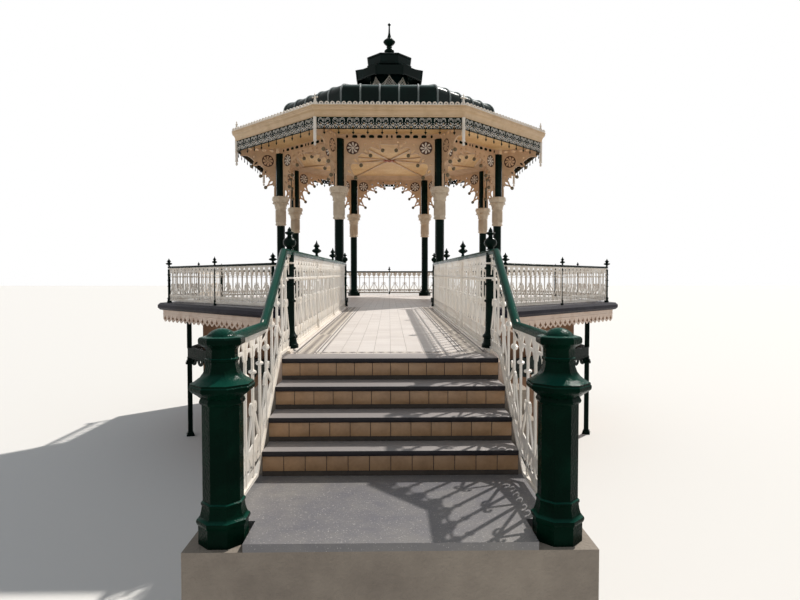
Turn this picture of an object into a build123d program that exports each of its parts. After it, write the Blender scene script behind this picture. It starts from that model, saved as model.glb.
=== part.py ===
from build123d import *
from math import atan2, cos, degrees, radians, sin, tan
import os

# Octagonal seaside bandstand on a raised deck, reached by a short bridge and four steps.
# Millimetres. The origin is the centre of the octagon at the lower ground.
# +Z is up, -Y faces the street and the steps, +Y faces the open side.

# Octagon shorthand: half a side over the apothem, and the corner radius over the apothem
sides = 8
half_angle = 180 / sides
half_side = tan(radians(half_angle))
to_corner = 1 / cos(radians(half_angle))
mitre_joint = 0.6

# Levels
deck_level = 3600.0
street_drop = 811.0
bridge_fall = 79.0

# Lower storey
lower_wall_apothem = 5020.0
lower_wall_thickness = 350.0
lower_floor_thickness = 150.0
lower_post_apothem = 5340.0
lower_post_width = 120.0
lower_post_height = 2100.0
lower_beam_width = 90.0
lower_beam_height = 270.0

# Deck
rail_apothem = 5784.0
deck_slab_apothem = 5910.0
deck_slab_thickness = 250.0
coping_inner = 5550.0
coping_outer = 6050.0
coping_height = 180.0
coping_drop = 26.0
coping_nose = 55.0
coping_joint = 3.0
coping_blocks = 4
fringe_thickness = 20.0
fringe_height = 310.0

# Pavilion columns
column_apothem = 3059.0
column_plinth_width = 330.0
column_plinth_height = 120.0
column_base_height = 230.0
column_shaft_apothem = 105.0
column_height = 2086.0
capital_height = 810.0
capital_neck_apothem = 133.0
capital_bell_height = 520.0
capital_top_apothem = 225.0
abacus_height = 95.0
upper_shaft_width = 154.0

# Fretwork under the roof
beam_level = 4095.0
beam_height = 120.0
beam_thickness = 60.0
slot_width = 124.0
slot_height = 57.0
slot_places = (237.0, 445.0, 656.0, 866.0)
fret_thickness = 30.0
fret_strip = 60.0
fret_foot = 2900.0
cusp_roots = [(257.0, 3290.0), (407.0, 3570.0), (667.0, 3800.0), (967.0, 3925.0)]
cusp_tips = [(419.0, 3140.0), (555.0, 3446.0), (792.0, 3690.0), (1097.0, 3820.0)]
cusp_root_width = 130.0
cusp_tip_width = 60.0
fret_crown = 3965.0
rosette_reach = 350.0
rosette_level = 3880.0
rosette_radius = 150.0

# Eaves
eaves_apothem = 4236.0
eaves_level = 4340.0
gutter_height = 260.0
gutter_depth = 160.0
cresting_height = 75.0
cresting_thickness = 20.0
valance_height = 276.0
valance_thickness = 18.0
valance_repeats = 10
valance_drop = 117.0
pendant_width = 80.0
pendant_length = 660.0
acroterion_height = 300.0
ceiling_thickness = 40.0

# Roof
roof_apothem = 2950.0
roof_foot_level = 4800.0
roof_shoulder_level = 5560.0
roof_shoulder_radius = 260.0
roof_shoulder_steps = 3
roof_slope_angle = 14.0
roof_thickness = 40.0
roll_width = 50.0
roll_height = 45.0
roll_offsets = (0.1, 0.3)

# Lantern and finial
lantern_apothem = 550.0
lantern_wall = 50.0
lantern_sill = 180.0
lantern_opening_width = 300.0
lantern_opening_height = 400.0
hood_apothem = 970.0
hood_foot_apothem = 940.0
hood_skirt_height = 270.0
hood_foot_level = 6440.0
hood_thickness = 30.0
cap_apothem = 628.0
cap_level = 6860.0
cap_height = 320.0
cap_rise = 100.0
finial_height = 1020.0

# Balustrades
panel_thickness = 22.0
panel_pitch = 200.0
panel_gap_width = 112.0
panel_gap_foot = 250.0
panel_gap_head = 170.0
panel_foot = 25.0
rail_height = 924.0
rail_depth = 50.0
rail_width = 62.0
post_sides = 6
spike_sides = 4
post_apothem = 22.0
post_base_apothem = 36.0
post_base_height = 145.0
post_clearance = 0.3
slope_clearance = 0.7

# Bridge and steps
bridge_rail_half = 920.0
bridge_slab_depth = 330.0
bridge_floor_thickness = 41.0
girder_width = 180.0
girder_depth = 400.0
girder_half_spacing = 700.0
bridge_post_reach = [8372.0, 10467.0, 12466.0]
stair_head = 12987.0
nosing_reach = [13760.0, 13533.0, 13269.0, 12987.0]
riser = (street_drop - bridge_fall) / len(nosing_reach)
tread_thickness = bridge_floor_thickness
tread_overhang = 20.0
riser_thickness = 20.0
stair_half_width = 905.0
landing_strip = 300.0
abutment_half_width = 1100.0
abutment_front = 14800.0
abutment_back = 12300.0
foot_slab_thickness = 44.0
foot_slab_half_width = 1000.0
newel_reach = 14643.0
newel_half_spacing = bridge_rail_half
newel_height = 1165.0
newel_base_apothem = 137.0
newel_base_height = 231.0
newel_shaft_apothem = 101.0
newel_collar_level = 811.0
newel_collar_apothem = 161.0
newel_neck_level = 930.0
newel_neck_apothem = 78.0
newel_cap_level = 1088.0
newel_cap_apothem = 115.0
stair_rail_level = 1080.0
stair_rail_foot = 13600.0
stair_rail_head = 12760.0
stair_panel_rise = 40.0
stair_panel_foot = 13870.0

# Heights worked out from the levels above
street_level = deck_level - street_drop
landing_level = deck_level - bridge_fall
strip_back = stair_head - landing_strip
coping_top = deck_level - coping_drop
coping_base = coping_top - coping_height
slab_base = coping_base - deck_slab_thickness
column_radius = column_apothem * to_corner
rail_radius = rail_apothem * to_corner
capital_level = deck_level + column_height
upper_shaft_level = capital_level + capital_height
beam_base = deck_level + beam_level
beam_top = beam_base + beam_height
eaves_base = deck_level + eaves_level
roof_foot = deck_level + roof_foot_level
roof_slope = tan(radians(roof_slope_angle))
post_base_radius = post_base_apothem / cos(radians(180 / post_sides))
bridge_half_width = bridge_rail_half + post_base_radius + post_clearance
hood_foot = deck_level + hood_foot_level
cap_base = deck_level + cap_level


def octagon(apothem):
    """An octagon on the current plane, with a flat side facing the street."""
    RegularPolygon(apothem, sides, major_radius=False, rotation=half_angle)


def mitred_side(outline):
    """One straight side of an octagonal ring, facing +X, with both ends cut on the mitre.
    The outline gives its section as (distance from the axis, height) points."""
    reach = max(point[0] for point in outline) * half_side + coping_joint
    with BuildPart() as side:
        with BuildSketch(Plane.XZ):
            with BuildLine():
                Polyline(*outline, close=True)
            make_face()
        extrude(amount=reach, both=True)
        for end in (-1, 1):
            normal = Vector(-sin(radians(half_angle)), end * cos(radians(half_angle)), 0)
            split(bisect_by=Plane(origin=normal * (-mitre_joint / 2), z_dir=normal), keep=Keep.BOTTOM)
    return side.part


def band(inner, outer, low, high):
    """The rectangular section of a ring between two apothems and two heights."""
    return [(inner, low), (outer, low), (outer, high), (inner, high)]


def frustum(low, first, high, second, count):
    """A tapered slice with flat faces between two heights, from one apothem to another."""
    with BuildPart() as piece:
        with BuildSketch(Plane.XY.offset(low)):
            RegularPolygon(max(first, second), count, major_radius=False, rotation=180 / count)
        extrude(amount=high - low, taper=degrees(atan2(abs(first - second), high - low)))
        if second > first:
            mirror(about=Plane.XY.offset((low + high) / 2), mode=Mode.REPLACE)
    return piece.part


def turned(profile, count=sides):
    """A turned piece with flat faces, from (height, apothem) pairs counted from its foot."""
    with BuildPart() as piece:
        for (low, first), (high, second) in zip(profile, profile[1:]):
            add(frustum(low, first, high, second, count))
    return piece.part


def floor_at(reach):
    """Level of the bridge floor at a distance in front of the centre."""
    run = min(max((reach - coping_outer) / (strip_back - coping_outer), 0), 1)
    return deck_level - bridge_fall * run


# Lower storey: floor, eight plain walls, and the ring of posts and beams outside them
with BuildPart() as lower_floor:
    with BuildSketch():
        octagon(lower_wall_apothem - lower_wall_thickness)
    extrude(amount=lower_floor_thickness)
lower_floor.part.label = "lower_floor"

wall_side = mitred_side(band(lower_wall_apothem - lower_wall_thickness, lower_wall_apothem, 0, slab_base))
with BuildPart() as lower_walls:
    with PolarLocations(0, sides):
        add(wall_side)
lower_walls.part.label = "lower_walls"

with BuildPart() as lower_posts:
    with BuildSketch():
        with PolarLocations(lower_post_apothem * to_corner, sides, start_angle=half_angle):
            Rectangle(lower_post_width, lower_post_width)
    extrude(amount=lower_post_height)
    with BuildSketch(Plane.XY.offset(lower_post_height + lower_beam_height)):
        with PolarLocations(lower_post_apothem * to_corner, sides, start_angle=half_angle):
            Rectangle(lower_post_width, lower_post_width)
    extrude(amount=slab_base - lower_post_height - lower_beam_height)
lower_posts.part.label = "lower_posts"

lower_beam_side = mitred_side(
    band(
        lower_post_apothem - lower_beam_width / 2,
        lower_post_apothem + lower_beam_width / 2,
        lower_post_height,
        lower_post_height + lower_beam_height,
    )
)
with BuildPart() as lower_beams:
    with PolarLocations(0, sides):
        add(lower_beam_side)
lower_beams.part.label = "lower_beams"

# Deck: slab, floor, coping stones and the pierced fringe below them
with BuildPart() as deck_slab:
    with BuildSketch(Plane.XY.offset(slab_base)):
        octagon(deck_slab_apothem)
    extrude(amount=deck_slab_thickness)
deck_slab.part.label = "deck_slab"

with BuildPart() as deck_floor:
    with BuildSketch(Plane.XY.offset(coping_base)):
        octagon(coping_inner)
    extrude(amount=deck_level - coping_base)
deck_floor.part.label = "deck_floor"

coping_side = mitred_side(
    [
        (coping_inner, coping_base),
        (coping_outer - coping_nose, coping_base),
        (coping_outer, coping_base + coping_nose),
        (coping_outer, coping_top - coping_nose),
        (coping_outer - coping_nose, coping_top),
        (coping_inner, coping_top),
    ]
)
coping_length = 2 * coping_inner * half_side / coping_blocks
with BuildPart() as deck_coping:
    with PolarLocations(0, sides):
        add(coping_side)
    with PolarLocations(0, sides):
        with Locations(((coping_inner + coping_outer) / 2, 0, coping_base)):
            with GridLocations(1, coping_length, 1, coping_blocks - 1):
                Box(
                    coping_outer - coping_inner + coping_nose,
                    coping_joint,
                    2 * coping_height + coping_nose,
                    mode=Mode.SUBTRACT,
                )
    with Locations((0, -coping_outer, coping_base)):
        Box(2 * bridge_half_width, 2 * (coping_outer - coping_inner), 3 * coping_height, mode=Mode.SUBTRACT)
deck_coping.part.label = "deck_coping"

fringe_side = mitred_side(
    band(deck_slab_apothem, deck_slab_apothem + fringe_thickness, coping_base - fringe_height, coping_base)
)
with BuildPart() as deck_fringe:
    with PolarLocations(0, sides):
        add(fringe_side)
    with Locations((0, -deck_slab_apothem, coping_base)):
        Box(2 * bridge_half_width, 4 * fringe_thickness, 3 * fringe_height, mode=Mode.SUBTRACT)
deck_fringe.part.label = "deck_fringe"

# Column bases, shafts, capitals and the upper shafts that carry the roof
with BuildPart() as column_base:
    with BuildSketch():
        Rectangle(column_plinth_width, column_plinth_width)
    extrude(amount=column_plinth_height)
    add(
        turned(
            [
                (column_plinth_height, column_plinth_width / 2 - 15),
                (column_plinth_height + 50, column_plinth_width / 2 - 15),
                (column_base_height, column_shaft_apothem + 10),
            ]
        )
    )
with BuildPart() as column_bases:
    with Locations((0, 0, deck_level)):
        with PolarLocations(column_radius, sides, start_angle=half_angle):
            add(column_base.part)
column_bases.part.label = "column_bases"

with BuildPart() as columns:
    with BuildSketch(Plane.XY.offset(deck_level + column_base_height)):
        with PolarLocations(column_radius, sides, start_angle=half_angle):
            RegularPolygon(column_shaft_apothem, sides, major_radius=False, rotation=half_angle)
    extrude(amount=column_height - column_base_height)
columns.part.label = "columns"

capital = turned(
    [
        (0, capital_neck_apothem),
        (capital_bell_height, capital_neck_apothem + 8),
        (capital_bell_height + 60, capital_neck_apothem + 30),
        (capital_height - abacus_height, capital_top_apothem - 25),
        (capital_height - abacus_height + 20, capital_top_apothem),
        (capital_height, capital_top_apothem),
    ]
)
with BuildPart() as capitals:
    with Locations((0, 0, capital_level)):
        with PolarLocations(column_radius, sides, start_angle=half_angle):
            add(capital)
capitals.part.label = "capitals"

with BuildPart() as upper_shafts:
    with BuildSketch(Plane.XY.offset(upper_shaft_level)):
        with PolarLocations(column_radius, sides, start_angle=half_angle):
            Rectangle(upper_shaft_width, upper_shaft_width)
    extrude(amount=beam_base - upper_shaft_level)
upper_shafts.part.label = "upper_shafts"

# Beams along the column line, with the cusped arch fretwork below them
beam_side = mitred_side(
    band(column_apothem - beam_thickness / 2, column_apothem + beam_thickness / 2, beam_base, beam_top)
)
slot_centres = [place * way for place in slot_places for way in (-1, 1)]
with BuildPart() as arch_beams:
    with PolarLocations(0, sides):
        add(beam_side)
    with PolarLocations(0, sides):
        with Locations(*[(column_apothem, place, beam_base + beam_height * 0.4) for place in slot_centres]):
            Box(2 * beam_thickness, slot_width, slot_height, mode=Mode.SUBTRACT)
arch_beams.part.label = "arch_beams"


def fretwork(near, far, head, cusps):
    """A cusped iron plate beside a column, between two distances from the column's axis.
    It grows from a strip on the shaft, and its lower edge carries a number of pointed cusps."""
    edge = [(near + fret_strip, cusp_roots[0][1] - cusp_root_width)]
    for root, tip in zip(cusp_roots[:cusps], cusp_tips):
        along = (Vector(*tip) - Vector(*root)).normalized()
        across = Vector(-along.Y, along.X)
        edge.append(Vector(*root) - across * cusp_root_width / 2)
        edge.append(Vector(*tip) - across * cusp_tip_width / 2)
        edge.append(Vector(*tip) + across * cusp_tip_width / 2)
        edge.append(Vector(*root) + across * cusp_root_width / 2)
    with BuildSketch() as plate:
        with BuildLine():
            Polyline(
                (near, fret_foot),
                (near + fret_strip, fret_foot),
                *edge,
                (far, fret_crown),
                (far, head),
                (near, head),
                close=True,
            )
        make_face()
        with Locations((rosette_reach, rosette_level)):
            RegularPolygon(rosette_radius, sides, mode=Mode.SUBTRACT)
    return plate.sketch


shaft_reach = (upper_shaft_width + fret_thickness * sin(radians(half_angle))) / 2 * to_corner
column_half = column_apothem * half_side
arch_half = fretwork(shaft_reach + post_clearance, column_half - mitre_joint, beam_level, len(cusp_tips))
with BuildPart() as fret_side:
    for way in (-1, 1):
        column_line = (column_apothem, way * column_half, deck_level)
        with BuildSketch(Plane(origin=column_line, x_dir=(0, -way, 0), z_dir=(-way, 0, 0))):
            add(arch_half)
        extrude(amount=fret_thickness / 2, both=True)
with BuildPart() as arch_frets:
    with PolarLocations(0, sides):
        add(fret_side.part)
arch_frets.part.label = "arch_frets"

# Brackets that reach out from the columns to the corners of the eaves
bracket_end = (eaves_apothem - gutter_depth) * to_corner - column_radius
bracket_plate = fretwork(upper_shaft_width / 2, bracket_end, beam_level + beam_height, len(cusp_tips) - 1)
with BuildPart() as bracket:
    with BuildSketch(Plane(origin=(column_radius, 0, deck_level), x_dir=(1, 0, 0), z_dir=(0, -1, 0))):
        add(bracket_plate)
    extrude(amount=fret_thickness / 2, both=True)
with BuildPart() as eaves_brackets:
    with PolarLocations(0, sides, start_angle=half_angle):
        add(bracket.part)
eaves_brackets.part.label = "eaves_brackets"

# Boarded ceiling, which rests on the beams and reaches out to the gutter
ceiling_edge = eaves_apothem - gutter_depth
with BuildPart() as ceiling:
    with BuildSketch(Plane.XY.offset(beam_top)):
        octagon(ceiling_edge)
    extrude(amount=ceiling_thickness)
ceiling.part.label = "ceiling"

# Gutter, cresting, corner spires, valance and corner pendants
gutter_top = eaves_base + gutter_height
gutter_side = mitred_side(
    [
        (ceiling_edge, eaves_base),
        (eaves_apothem - 45, eaves_base),
        (eaves_apothem - 35, eaves_base + 60),
        (eaves_apothem + 10, eaves_base + 110),
        (eaves_apothem + 45, eaves_base + 210),
        (eaves_apothem + 45, gutter_top),
        (ceiling_edge, gutter_top),
    ]
)
with BuildPart() as gutter:
    with PolarLocations(0, sides):
        add(gutter_side)
gutter.part.label = "gutter"

cresting_side = mitred_side(
    band(
        eaves_apothem + 15,
        eaves_apothem + 15 + cresting_thickness,
        gutter_top,
        gutter_top + cresting_height,
    )
)
with BuildPart() as cresting:
    with PolarLocations(0, sides):
        add(cresting_side)
cresting.part.label = "cresting"

spire = turned(
    [
        (0, 60),
        (60, 45),
        (130, 22),
        (acroterion_height - 40, 12),
        (acroterion_height, 5),
    ],
    count=4,
)
with BuildPart() as corner_spires:
    with Locations((0, 0, gutter_top)):
        with PolarLocations(eaves_apothem * to_corner - 85, sides, start_angle=half_angle):
            add(spire)
corner_spires.part.label = "corner_spires"

valance_apothem = eaves_apothem - 80
valance_half = valance_apothem * half_side - pendant_width * 0.6
valance_pitch = 2 * valance_half / valance_repeats
with BuildPart() as valance_side:
    with BuildSketch(Plane(origin=(valance_apothem, 0, eaves_base), x_dir=(0, 1, 0), z_dir=(1, 0, 0))):
        with BuildLine():
            Polyline(
                (-valance_half, 0),
                (valance_half, 0),
                (valance_half, -valance_height + 60),
                *[
                    point
                    for index in reversed(range(valance_repeats))
                    for point in (
                        (-valance_half + (index + 0.5) * valance_pitch + 25, -valance_height),
                        (-valance_half + (index + 0.5) * valance_pitch, -valance_height - valance_drop),
                        (-valance_half + (index + 0.5) * valance_pitch - 25, -valance_height),
                        (-valance_half + index * valance_pitch, -valance_height + 60),
                    )
                ],
                close=True,
            )
        make_face()
    extrude(amount=valance_thickness)
with BuildPart() as valance:
    with PolarLocations(0, sides):
        add(valance_side.part)
valance.part.label = "valance"

pendant = turned(
    [
        (-pendant_length, 8),
        (-pendant_length + 60, pendant_width * 0.45),
        (-pendant_length + 110, pendant_width * 0.3),
        (-pendant_length + 150, pendant_width / 2),
        (0, pendant_width / 2),
    ],
    count=4,
)
with BuildPart() as corner_pendants:
    with Locations((0, 0, eaves_base)):
        with PolarLocations(valance_apothem * to_corner + 10, sides, start_angle=half_angle):
            add(pendant)
corner_pendants.part.label = "corner_pendants"


# Roof: a low skirt from the gutter, then an upright drum that rounds over to a low top
def roof_line(grow, inner):
    """The roof's outside line, grown outwards, as points from its foot to an inner distance."""
    centre = roof_apothem - roof_shoulder_radius
    level = deck_level + roof_shoulder_level - roof_shoulder_radius
    turns = [(90 - roof_slope_angle) * step / roof_shoulder_steps for step in range(roof_shoulder_steps + 1)]
    radius = roof_shoulder_radius + grow
    shoulder = [(centre + radius * cos(radians(turn)), level + radius * sin(radians(turn))) for turn in turns]
    reach, height = shoulder[-1]
    return [(roof_apothem + grow, roof_foot), *shoulder, (inner, height + roof_slope * (reach - inner))]


def roof_plank(inner_grow, outer_grow, inner, width, spread=1):
    """A strip of the roof facing +X between two grown roof lines, with its reach spread out."""
    outline = roof_line(outer_grow, inner) + roof_line(inner_grow, inner)[::-1]
    with BuildPart() as plank:
        with BuildSketch(Plane.XZ):
            with BuildLine():
                Polyline(*[(reach * spread, height) for reach, height in outline], close=True)
            make_face()
        extrude(amount=width / 2, both=True)
    return plank.part


roof_top = roof_line(0, lantern_apothem)[-1][1]
skirt_top = beam_top + ceiling_thickness
skirt_side = mitred_side(
    [
        (roof_apothem - roof_thickness, skirt_top),
        (ceiling_edge, skirt_top),
        (ceiling_edge, gutter_top - 60),
        (roof_apothem, roof_foot),
        (roof_apothem - roof_thickness, roof_foot),
    ]
)
with BuildPart() as skirt_roof:
    with PolarLocations(0, sides):
        add(skirt_side)
skirt_roof.part.label = "skirt_roof"

with BuildPart() as roof_side:
    add(roof_plank(-roof_thickness, 0, lantern_apothem, 2 * roof_apothem))
    for end in (-1, 1):
        normal = Vector(-sin(radians(half_angle)), end * cos(radians(half_angle)), 0)
        split(bisect_by=Plane(origin=normal * (-mitre_joint / 2), z_dir=normal), keep=Keep.BOTTOM)
with BuildPart() as drum_roof:
    with PolarLocations(0, sides):
        add(roof_side.part)
drum_roof.part.label = "drum_roof"

with BuildPart() as roof_rolls:
    for share in roll_offsets:
        place = share * 2 * roof_apothem * half_side
        roll = roof_plank(0, roll_height, (place + roll_width / 2) / half_side + 1.5 * roll_width, roll_width)
        with PolarLocations(0, sides):
            with Locations((0, -place, 0), (0, place, 0)):
                add(roll)
    hip_roll = roof_plank(0, roll_height, lantern_apothem + roll_width, roll_width, spread=to_corner)
    with PolarLocations(0, sides, start_angle=half_angle):
        add(hip_roll)
roof_rolls.part.label = "roof_rolls"

# Lantern: drum with pointed openings, lattice, hood, cap and finial
lantern_base = roof_top - 1.5 * roof_thickness
with BuildPart() as drum_side:
    add(mitred_side(band(lantern_apothem - lantern_wall, lantern_apothem, lantern_base, cap_base)))
    with BuildSketch(Plane(origin=(0, 0, lantern_base + lantern_sill), x_dir=(0, 1, 0), z_dir=(1, 0, 0))):
        with BuildLine():
            Polyline(
                (-lantern_opening_width / 2, 0),
                (lantern_opening_width / 2, 0),
                (lantern_opening_width / 2, lantern_opening_height * 0.4),
                (0, lantern_opening_height),
                (-lantern_opening_width / 2, lantern_opening_height * 0.4),
                close=True,
            )
        make_face()
    extrude(amount=2 * lantern_apothem, mode=Mode.SUBTRACT)
with BuildPart() as lantern_drum:
    with PolarLocations(0, sides):
        add(drum_side.part)
lantern_drum.part.label = "lantern_drum"

hood_corner = hood_foot + hood_skirt_height
hood_side = mitred_side(
    [
        (hood_foot_apothem - hood_thickness, hood_foot),
        (hood_foot_apothem, hood_foot),
        (hood_apothem, hood_corner),
        (lantern_apothem, cap_base),
        (lantern_apothem, cap_base - hood_thickness),
        (hood_apothem - hood_thickness, hood_corner - hood_thickness),
    ]
)
with BuildPart() as lantern_hood:
    with PolarLocations(0, sides):
        add(hood_side)
lantern_hood.part.label = "lantern_hood"

with BuildPart() as lantern_cap:
    add(
        turned(
            [
                (cap_base, cap_apothem),
                (cap_base + cap_height, cap_apothem),
                (cap_base + cap_height + cap_rise, cap_apothem * 0.25),
            ]
        )
    )
lantern_cap.part.label = "lantern_cap"

finial_foot = cap_base + cap_height + cap_rise
with BuildPart() as finial:
    with Locations((0, 0, finial_foot)):
        add(
            turned(
                [
                    (0, 110),
                    (60, 110),
                    (150, 150),
                    (190, 140),
                    (240, 80),
                    (330, 60),
                    (390, 150),
                    (450, 175),
                    (510, 130),
                    (560, 70),
                    (720, 30),
                    (finial_height - 90, 22),
                    (finial_height - 50, 45),
                    (finial_height, 12),
                ]
            )
        )
finial.part.label = "finial"


# Balustrades: cast panels with a row of tall gaps, on posts, under a moulded rail
def level_on(line, at):
    """Height of a broken line at a distance."""
    for (near, low), (far, high) in zip(line, line[1:]):
        if at <= far:
            return low + (high - low) * (at - near) / (far - near)
    return line[-1][1]


def panel_sketch(start, end, foot_line, head_line):
    """A balustrade panel between two distances, over one broken line of points and under another."""
    foot_knees = [point for point in foot_line if start < point[0] < end]
    head_knees = [point for point in head_line if start < point[0] < end]
    count = max(round((end - start) / panel_pitch), 1)
    pitch = (end - start) / count
    gap_half = panel_gap_width / panel_pitch * pitch / 2
    with BuildSketch() as panel:
        with BuildLine():
            Polyline(
                (start, level_on(foot_line, start)),
                *foot_knees,
                (end, level_on(foot_line, end)),
                (end, level_on(head_line, end)),
                *reversed(head_knees),
                (start, level_on(head_line, start)),
                close=True,
            )
        make_face()
        for index in range(count):
            centre = start + (index + 0.5) * pitch
            left, right = centre - gap_half, centre + gap_half
            with BuildLine():
                Polyline(
                    (left, level_on(foot_line, left) + panel_gap_foot),
                    (right, level_on(foot_line, right) + panel_gap_foot),
                    (right, level_on(head_line, right) - panel_gap_head),
                    (left, level_on(head_line, left) - panel_gap_head),
                    close=True,
                )
            make_face(mode=Mode.SUBTRACT)
    return panel.sketch


panel_end = rail_apothem * half_side - post_base_radius - post_clearance
panel_head = deck_level + rail_height - rail_depth
level_foot = [(0, coping_top), (coping_outer, coping_top)]
level_head = [(0, panel_head), (coping_outer, panel_head)]
side_plane = Plane(origin=(rail_apothem, 0, 0), x_dir=(0, 1, 0), z_dir=(1, 0, 0))
front_plane = Plane(origin=(0, -rail_apothem, 0), x_dir=(1, 0, 0), z_dir=(0, -1, 0))
half_panel = panel_sketch(post_base_radius + post_clearance, panel_end, level_foot, level_head)
front_panel = panel_sketch(bridge_half_width, panel_end, level_foot, level_head)
with BuildPart() as deck_side_panels:
    with BuildSketch(side_plane):
        add(half_panel)
        add(half_panel.mirror(Plane.YZ))
    extrude(amount=panel_thickness / 2, both=True)
with BuildPart() as deck_balustrade:
    with PolarLocations(0, sides - 1, start_angle=-45, angular_range=315):
        add(deck_side_panels.part)
    with BuildSketch(front_plane):
        add(front_panel)
        add(front_panel.mirror(Plane.YZ))
    extrude(amount=panel_thickness / 2, both=True)
deck_balustrade.part.label = "deck_balustrade"

rail_side = mitred_side(
    band(rail_apothem - rail_width / 2, rail_apothem + rail_width / 2, panel_head, deck_level + rail_height)
)
with BuildPart() as deck_rails:
    with PolarLocations(0, sides):
        add(rail_side)
    with Locations((0, -rail_apothem, panel_head)):
        Box(2 * bridge_rail_half + rail_width, 2 * rail_width, 4 * rail_depth, mode=Mode.SUBTRACT)
deck_rails.part.label = "deck_rails"

# Bridge: slab on two girders, tiled floor, and kerbs that carry the balustrades.
# The side view has the distance in front of the centre to the right and the height upwards.
side_view = Plane(origin=(0, 0, 0), x_dir=(0, -1, 0), z_dir=(-1, 0, 0))
slab_under = deck_level - bridge_floor_thickness - bridge_slab_depth
slab_end = stair_head - tread_overhang - riser_thickness
with BuildPart() as bridge_slab:
    with BuildSketch(side_view):
        with BuildLine():
            Polyline(
                (deck_slab_apothem, slab_under),
                (slab_end, slab_under),
                (slab_end, landing_level - bridge_floor_thickness),
                (strip_back, landing_level - bridge_floor_thickness),
                (coping_outer, deck_level - bridge_floor_thickness),
                (deck_slab_apothem, deck_level - bridge_floor_thickness),
                close=True,
            )
        make_face()
    extrude(amount=bridge_half_width, both=True)
bridge_slab.part.label = "bridge_slab"

with BuildPart() as bridge_floor:
    with BuildSketch(side_view):
        with BuildLine():
            Polyline(
                (coping_inner, coping_base),
                (deck_slab_apothem, coping_base),
                (deck_slab_apothem, deck_level - bridge_floor_thickness),
                (coping_outer, deck_level - bridge_floor_thickness),
                (strip_back, floor_at(strip_back) - bridge_floor_thickness),
                (strip_back, floor_at(strip_back)),
                (coping_outer, deck_level),
                (coping_inner, deck_level),
                close=True,
            )
        make_face()
    extrude(amount=bridge_half_width, both=True)
bridge_floor.part.label = "bridge_floor"

with BuildPart() as bridge_girders:
    for place in (-girder_half_spacing, girder_half_spacing):
        with BuildSketch(side_view.offset(place)):
            with Locations(((deck_slab_apothem + abutment_back) / 2, slab_under - girder_depth / 2)):
                Rectangle(abutment_back - deck_slab_apothem, girder_depth)
        extrude(amount=girder_width / 2, both=True)
bridge_girders.part.label = "bridge_girders"

kerb_start = rail_apothem - post_base_radius
kerb_end = strip_back
with BuildPart() as bridge_kerbs:
    for place in (-bridge_rail_half, bridge_rail_half):
        with BuildSketch(side_view.offset(place)):
            with BuildLine():
                Polyline(
                    (kerb_start, deck_level),
                    (coping_outer, deck_level),
                    (kerb_end, floor_at(kerb_end)),
                    (kerb_end, floor_at(kerb_end) + panel_foot),
                    (coping_outer, deck_level + panel_foot),
                    (kerb_start, deck_level + panel_foot),
                    close=True,
                )
            make_face()
        extrude(amount=post_base_radius, both=True)
bridge_kerbs.part.label = "bridge_kerbs"

# Rail line: level over the deck edge, down the bridge, down the steps, level to the newel
stair_post = bridge_post_reach[-1]
stair_top = street_level + stair_rail_level
newel_base = street_level - foot_slab_thickness
rail_end = newel_reach - newel_cap_apothem - post_clearance
rail_top_line = [
    (rail_apothem - rail_width / 2, deck_level + rail_height),
    (coping_outer, deck_level + rail_height),
    (stair_rail_head, floor_at(stair_rail_head) + rail_height),
    (stair_rail_foot, stair_top),
    (rail_end, stair_top),
]
rail_under_line = [(reach, level - rail_depth) for reach, level in rail_top_line]
kerb_line = [
    (kerb_start, deck_level + panel_foot),
    (coping_outer, deck_level + panel_foot),
    (kerb_end, floor_at(kerb_end) + panel_foot),
]
stair_foot_line = [
    (stair_post, floor_at(stair_post) + panel_foot),
    (kerb_end, floor_at(kerb_end) + panel_foot),
    (stair_head - panel_foot, landing_level + panel_foot),
    (stair_panel_foot, street_level + stair_panel_rise),
    (newel_reach, street_level + stair_panel_rise),
]


def side_panel(near, far, foot_line, head_line):
    """A pair of balustrade panels, one on each side of the bridge."""
    bay = panel_sketch(near, far, foot_line, head_line)
    with BuildPart() as pair:
        for place in (-bridge_rail_half, bridge_rail_half):
            with BuildSketch(side_view.offset(place)):
                add(bay)
            extrude(amount=panel_thickness / 2, both=True)
    return pair.part


post_reaches = [rail_apothem, *bridge_post_reach]
post_gap = post_base_radius + post_clearance
with BuildPart() as bridge_balustrades:
    for near, far in zip(post_reaches, post_reaches[1:]):
        add(side_panel(near + post_gap, far - post_gap, kerb_line, rail_under_line))
bridge_balustrades.part.label = "bridge_balustrades"

# The stair balustrade is three castings: a level one, a raking one and a level one at the newel
stair_panel_end = newel_reach - newel_shaft_apothem - post_clearance
rake_start = (stair_rail_head + stair_head) / 2
rake_end = (stair_rail_foot + stair_panel_foot) / 2
with BuildPart() as stair_balustrades:
    for near, far in (
        (stair_post + post_gap, rake_start),
        (rake_start + mitre_joint, rake_end),
        (rake_end + mitre_joint, stair_panel_end),
    ):
        add(side_panel(near, far, stair_foot_line, rail_under_line))
    for low, high, reach in (
        (0, newel_base_height, newel_base_apothem),
        (newel_collar_level, newel_neck_level, newel_collar_apothem),
    ):
        for place in (-bridge_rail_half, bridge_rail_half):
            with Locations((place, -newel_reach, newel_base + (low + high) / 2)):
                Box(
                    2 * newel_collar_apothem,
                    2 * (reach + post_clearance),
                    high - low + 2 * post_clearance,
                    mode=Mode.SUBTRACT,
                )
stair_balustrades.part.label = "stair_balustrades"

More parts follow.
